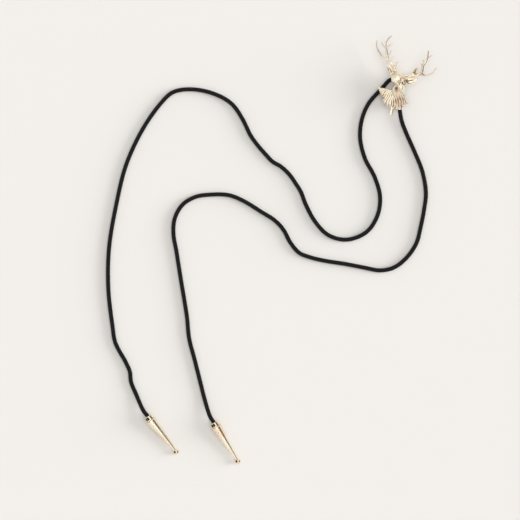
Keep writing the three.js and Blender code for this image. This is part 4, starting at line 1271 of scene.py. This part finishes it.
# Operators
class BOLO_OT_stage(bpy.types.Operator):
    """Sets the camera straight above the tie, the pale floor and the studio light"""

    bl_idname = "bolo.stage"
    bl_label = "Stage"

    def execute(self, context):
        settings = context.scene.bolo_stage
        scene = context.scene
        scene.view_settings.view_transform = "Standard"
        camera_data = bpy.data.cameras.new("camera")
        camera_data.sensor_width = 36.0
        camera_data.lens = 36.0 * settings.camera_height / settings.view_width
        camera_data.clip_end = 50.0
        camera = bpy.data.objects.new("camera", camera_data)
        camera.location = (VIEW_MIDDLE[0] * MM, VIEW_MIDDLE[1] * MM, settings.camera_height)
        scene.collection.objects.link(camera)
        scene.camera = camera

        corners = [(a * FLOOR_HALF, b * FLOOR_HALF, FLOOR_Z) for a, b in ((-1, -1), (1, -1), (1, 1), (-1, 1))]
        floor_mesh = new_mesh("floor", corners, [[0, 1, 2, 3]])
        floor = bpy.data.objects.new("floor", floor_mesh)
        scene.collection.objects.link(floor)
        paper, _, shader = new_material("paper")
        shader.inputs["Base Color"].default_value = rgba(settings.floor)
        shader.inputs["Roughness"].default_value = 0.95
        shader.inputs["Specular IOR Level"].default_value = 0.0
        floor_mesh.materials.append(paper)

        from_right = Vector((math.cos(settings.key_elevation), 0.06, math.sin(settings.key_elevation)))
        self.light("key", settings.key_strength, settings.key_angle, from_right)
        self.light("top", settings.top_strength, settings.top_angle, Vector((0.1, 0.05, 1.0)))
        self.light_room(scene)
        return {"FINISHED"}

    def light(self, name, energy, size, toward):
        """A soft distant light that the metal doesn't mirror."""
        light_data = bpy.data.lights.new(name, "SUN")
        light_data.energy = energy
        light_data.angle = size
        light = bpy.data.objects.new(name, light_data)
        light.rotation_euler = toward.to_track_quat("Z", "Y").to_euler()
        light.visible_glossy = False
        bpy.context.scene.collection.objects.link(light)

    def light_room(self, scene):
        """A pale room, darker low on the left, with a few dark things for the metal to reflect."""
        world = bpy.data.worlds.new("room")
        world.use_nodes = True
        scene.world = world
        tree = world.node_tree
        towards = node(tree, "ShaderNodeTexCoord").outputs["Generated"]
        x, y, z = node(tree, "ShaderNodeSeparateXYZ", {0: towards}).outputs
        azimuth = maths(tree, "MULTIPLY", maths(tree, "ARCTAN2", y, x), 180 / math.pi)
        elevation = maths(tree, "MULTIPLY", maths(tree, "ARCSINE", z), 180 / math.pi)
        low = mixed(tree, spread(tree, x, -0.9, 0.5), (0.62, 0.58, 0.52, 1), (1.0, 0.99, 0.96, 1))
        ring = mixed(tree, spread(tree, elevation, 2.0, 24.0), low, (1.12, 1.11, 1.08, 1))
        shade = mixed(tree, spread(tree, y, -0.3, -0.75, 0.0, 0.7), ring, (0.8, 0.66, 0.56, 1))
        for left, right, bottom, top, tone in DARK_THINGS:
            across = window(tree, azimuth, left, right, 3.0)
            upright = window(tree, elevation, bottom, top, 3.0)
            shade = mixed(tree, maths(tree, "MULTIPLY", across, upright), shade, rgba(tone))
        ray = node(tree, "ShaderNodeLightPath").outputs
        shade = mixed(tree, ray["Is Diffuse Ray"], shade, (0.5, 0.5, 0.5, 1))
        plain = mixed(tree, ray["Is Camera Ray"], shade, (0.89, 0.86, 0.82, 1))
        tree.links.new(plain, tree.nodes["Background"].inputs["Color"])


class BOLO_OT_tips(bpy.types.Operator):
    """Builds the two polished cone tips"""

    bl_idname = "bolo.tips"
    bl_label = "Cone tips"

    def execute(self, context):
        metal = context.scene.bolo_metal
        material = metal_material("polished_plating", metal, 0.07, tarnish_start=0.25, tarnish_share=0.85,
                                  patch_scale=90.0, bump=0.02)
        cone_tip("tip_left_polished", LEFT_MOUTH, material, "tip_left")
        cone_tip("tip_right_polished", RIGHT_MOUTH, material, "tip_right")
        return {"FINISHED"}


class BOLO_OT_cords(bpy.types.Operator):
    """Builds the two strands and the loop behind the bust as braided cord"""

    bl_idname = "bolo.cords"
    bl_label = "Braided cord"

    def execute(self, context):
        settings = context.scene.bolo_cord
        left = strand_points(LEFT_GUIDE, LEFT_ROUTE, LEFT_MOUTH)
        right = strand_points(RIGHT_GUIDE, RIGHT_ROUTE, RIGHT_MOUTH)
        for name, points, long, far_end, fittings in (
                ("cord_left", left, settings.left_length, "fitting", ["tip_left_polished"]),
                ("cord_right", right, settings.right_length, "fitting", ["tip_right_polished"]),
                ("cord_loop", loop_points(), settings.loop_length, "object", [])):
            piece, path = braided_cord(name + "_braid", points, settings, name)
        return {"FINISHED"}


class BOLO_OT_bust(bpy.types.Operator):
    """Builds the cast stag's bust as one skin"""

    bl_idname = "bolo.bust"
    bl_label = "Stag's bust"

    def execute(self, context):
        metal = context.scene.bolo_metal
        mesh = fused_mesh("stag_bust_cast", bust_parts(), metal.voxel)
        pairs = edge_pairs(mesh)
        rough = coordinates(mesh)
        smooth = relaxed(relaxed(rough, pairs, 2), pairs, 9, off_the_fur(rough)[:, None])
        set_coordinates(mesh, smooth)
        set_coordinates(mesh, carved(coordinates(mesh), vertex_normals(mesh)))
        set_coordinates(mesh, relaxed(coordinates(mesh), pairs, 1))
        points = coordinates(mesh)
        most = MOST_HOLLOW - LESS_HOLLOW_ON_RUFF * on_ruff(points)
        mark_hollows(mesh, CAST_REACH, patina_and_painted_shade(points, vertex_normals(mesh)), most)
        write_attribute(mesh, "toning_and_painted_reflection", toning_and_painted_reflection(points))
        material = metal_material("cast_plating", metal, metal.roughness, tarnish_share=0.9,
                                  patch_scale=260.0)
        placed("stag_bust_cast", mesh, material, "slide", "cast_metal", "stag_bust")
        return {"FINISHED"}


class BOLO_OT_clasp(bpy.types.Operator):
    """Finishes the stamped clasp base and its lever"""

    bl_idname = "bolo.clasp"
    bl_label = "Cord clasp"

    def execute(self, context):
        metal = context.scene.bolo_metal
        material = metal_material("stamped_plating", metal, 0.2, tarnish_start=0.75, tarnish_share=0.5,
                                  grain_scale=1800.0, bump=0.12)
        self.stamped("clasp_base", clasp_base_parts(), "slide", material)
        self.stamped("clasp_lever", lever_parts(), "lever", material)
        return {"FINISHED"}

    def stamped(self, name, parts, body, material):
        """Puts one stamped piece in place of its CAD node; the lever's tab is crowned, with painted shade
        along its left edge.
        """
        mesh = fused_mesh(name + "_stamped", parts, bpy.context.scene.bolo_metal.clasp_voxel)
        points = relaxed(coordinates(mesh), edge_pairs(mesh), 4)
        on_lever = body == "lever"
        set_coordinates(mesh, crowned_tab(points) if on_lever else points)
        # Painted shade along the tab's left edge is added to the hollowness
        mark_hollows(mesh, STAMPED_REACH, tab_painted_shade(points) if on_lever else 0.0)
        placed(name + "_stamped", mesh, material, body, "stamped_metal", name)


class BOLO_PT_panel(bpy.types.Panel):
    """Lists the pieces of the bolo tie"""

    bl_idname = "BOLO_PT_panel"
    bl_label = "Bolo tie"
    bl_space_type = "VIEW_3D"
    bl_region_type = "UI"
    bl_category = "Bolo tie"

    def draw(self, context):
        layout = self.layout
        scene = context.scene
        for settings in (scene.bolo_cord, scene.bolo_metal, scene.bolo_stage):
            box = layout.box()
            for key in settings.bl_rna.properties.keys():
                if key not in ("rna_type", "name"):
                    box.prop(settings, key)
        for operator in OPERATORS:
            layout.operator(operator.bl_idname)


SETTINGS = {"bolo_cord": CordSettings, "bolo_metal": MetalSettings, "bolo_stage": StageSettings}
OPERATORS = (BOLO_OT_stage, BOLO_OT_tips, BOLO_OT_cords, BOLO_OT_bust, BOLO_OT_clasp)


def register():
    for settings in SETTINGS.values():
        bpy.utils.register_class(settings)
    for name, settings in SETTINGS.items():
        setattr(bpy.types.Scene, name, PointerProperty(type=settings))
    for operator in OPERATORS:
        bpy.utils.register_class(operator)
    bpy.utils.register_class(BOLO_PT_panel)


def unregister():
    bpy.utils.unregister_class(BOLO_PT_panel)
    for operator in reversed(OPERATORS):
        bpy.utils.unregister_class(operator)
    for name in SETTINGS:
        delattr(bpy.types.Scene, name)
    for settings in reversed(list(SETTINGS.values())):
        bpy.utils.unregister_class(settings)


def main():
    """Builds everything in order."""
    register()
    bpy.ops.bolo.stage()
    bpy.ops.bolo.tips()
    bpy.ops.bolo.cords()
    bpy.ops.bolo.bust()
    bpy.ops.bolo.clasp()


if __name__ == "__main__":
    main()
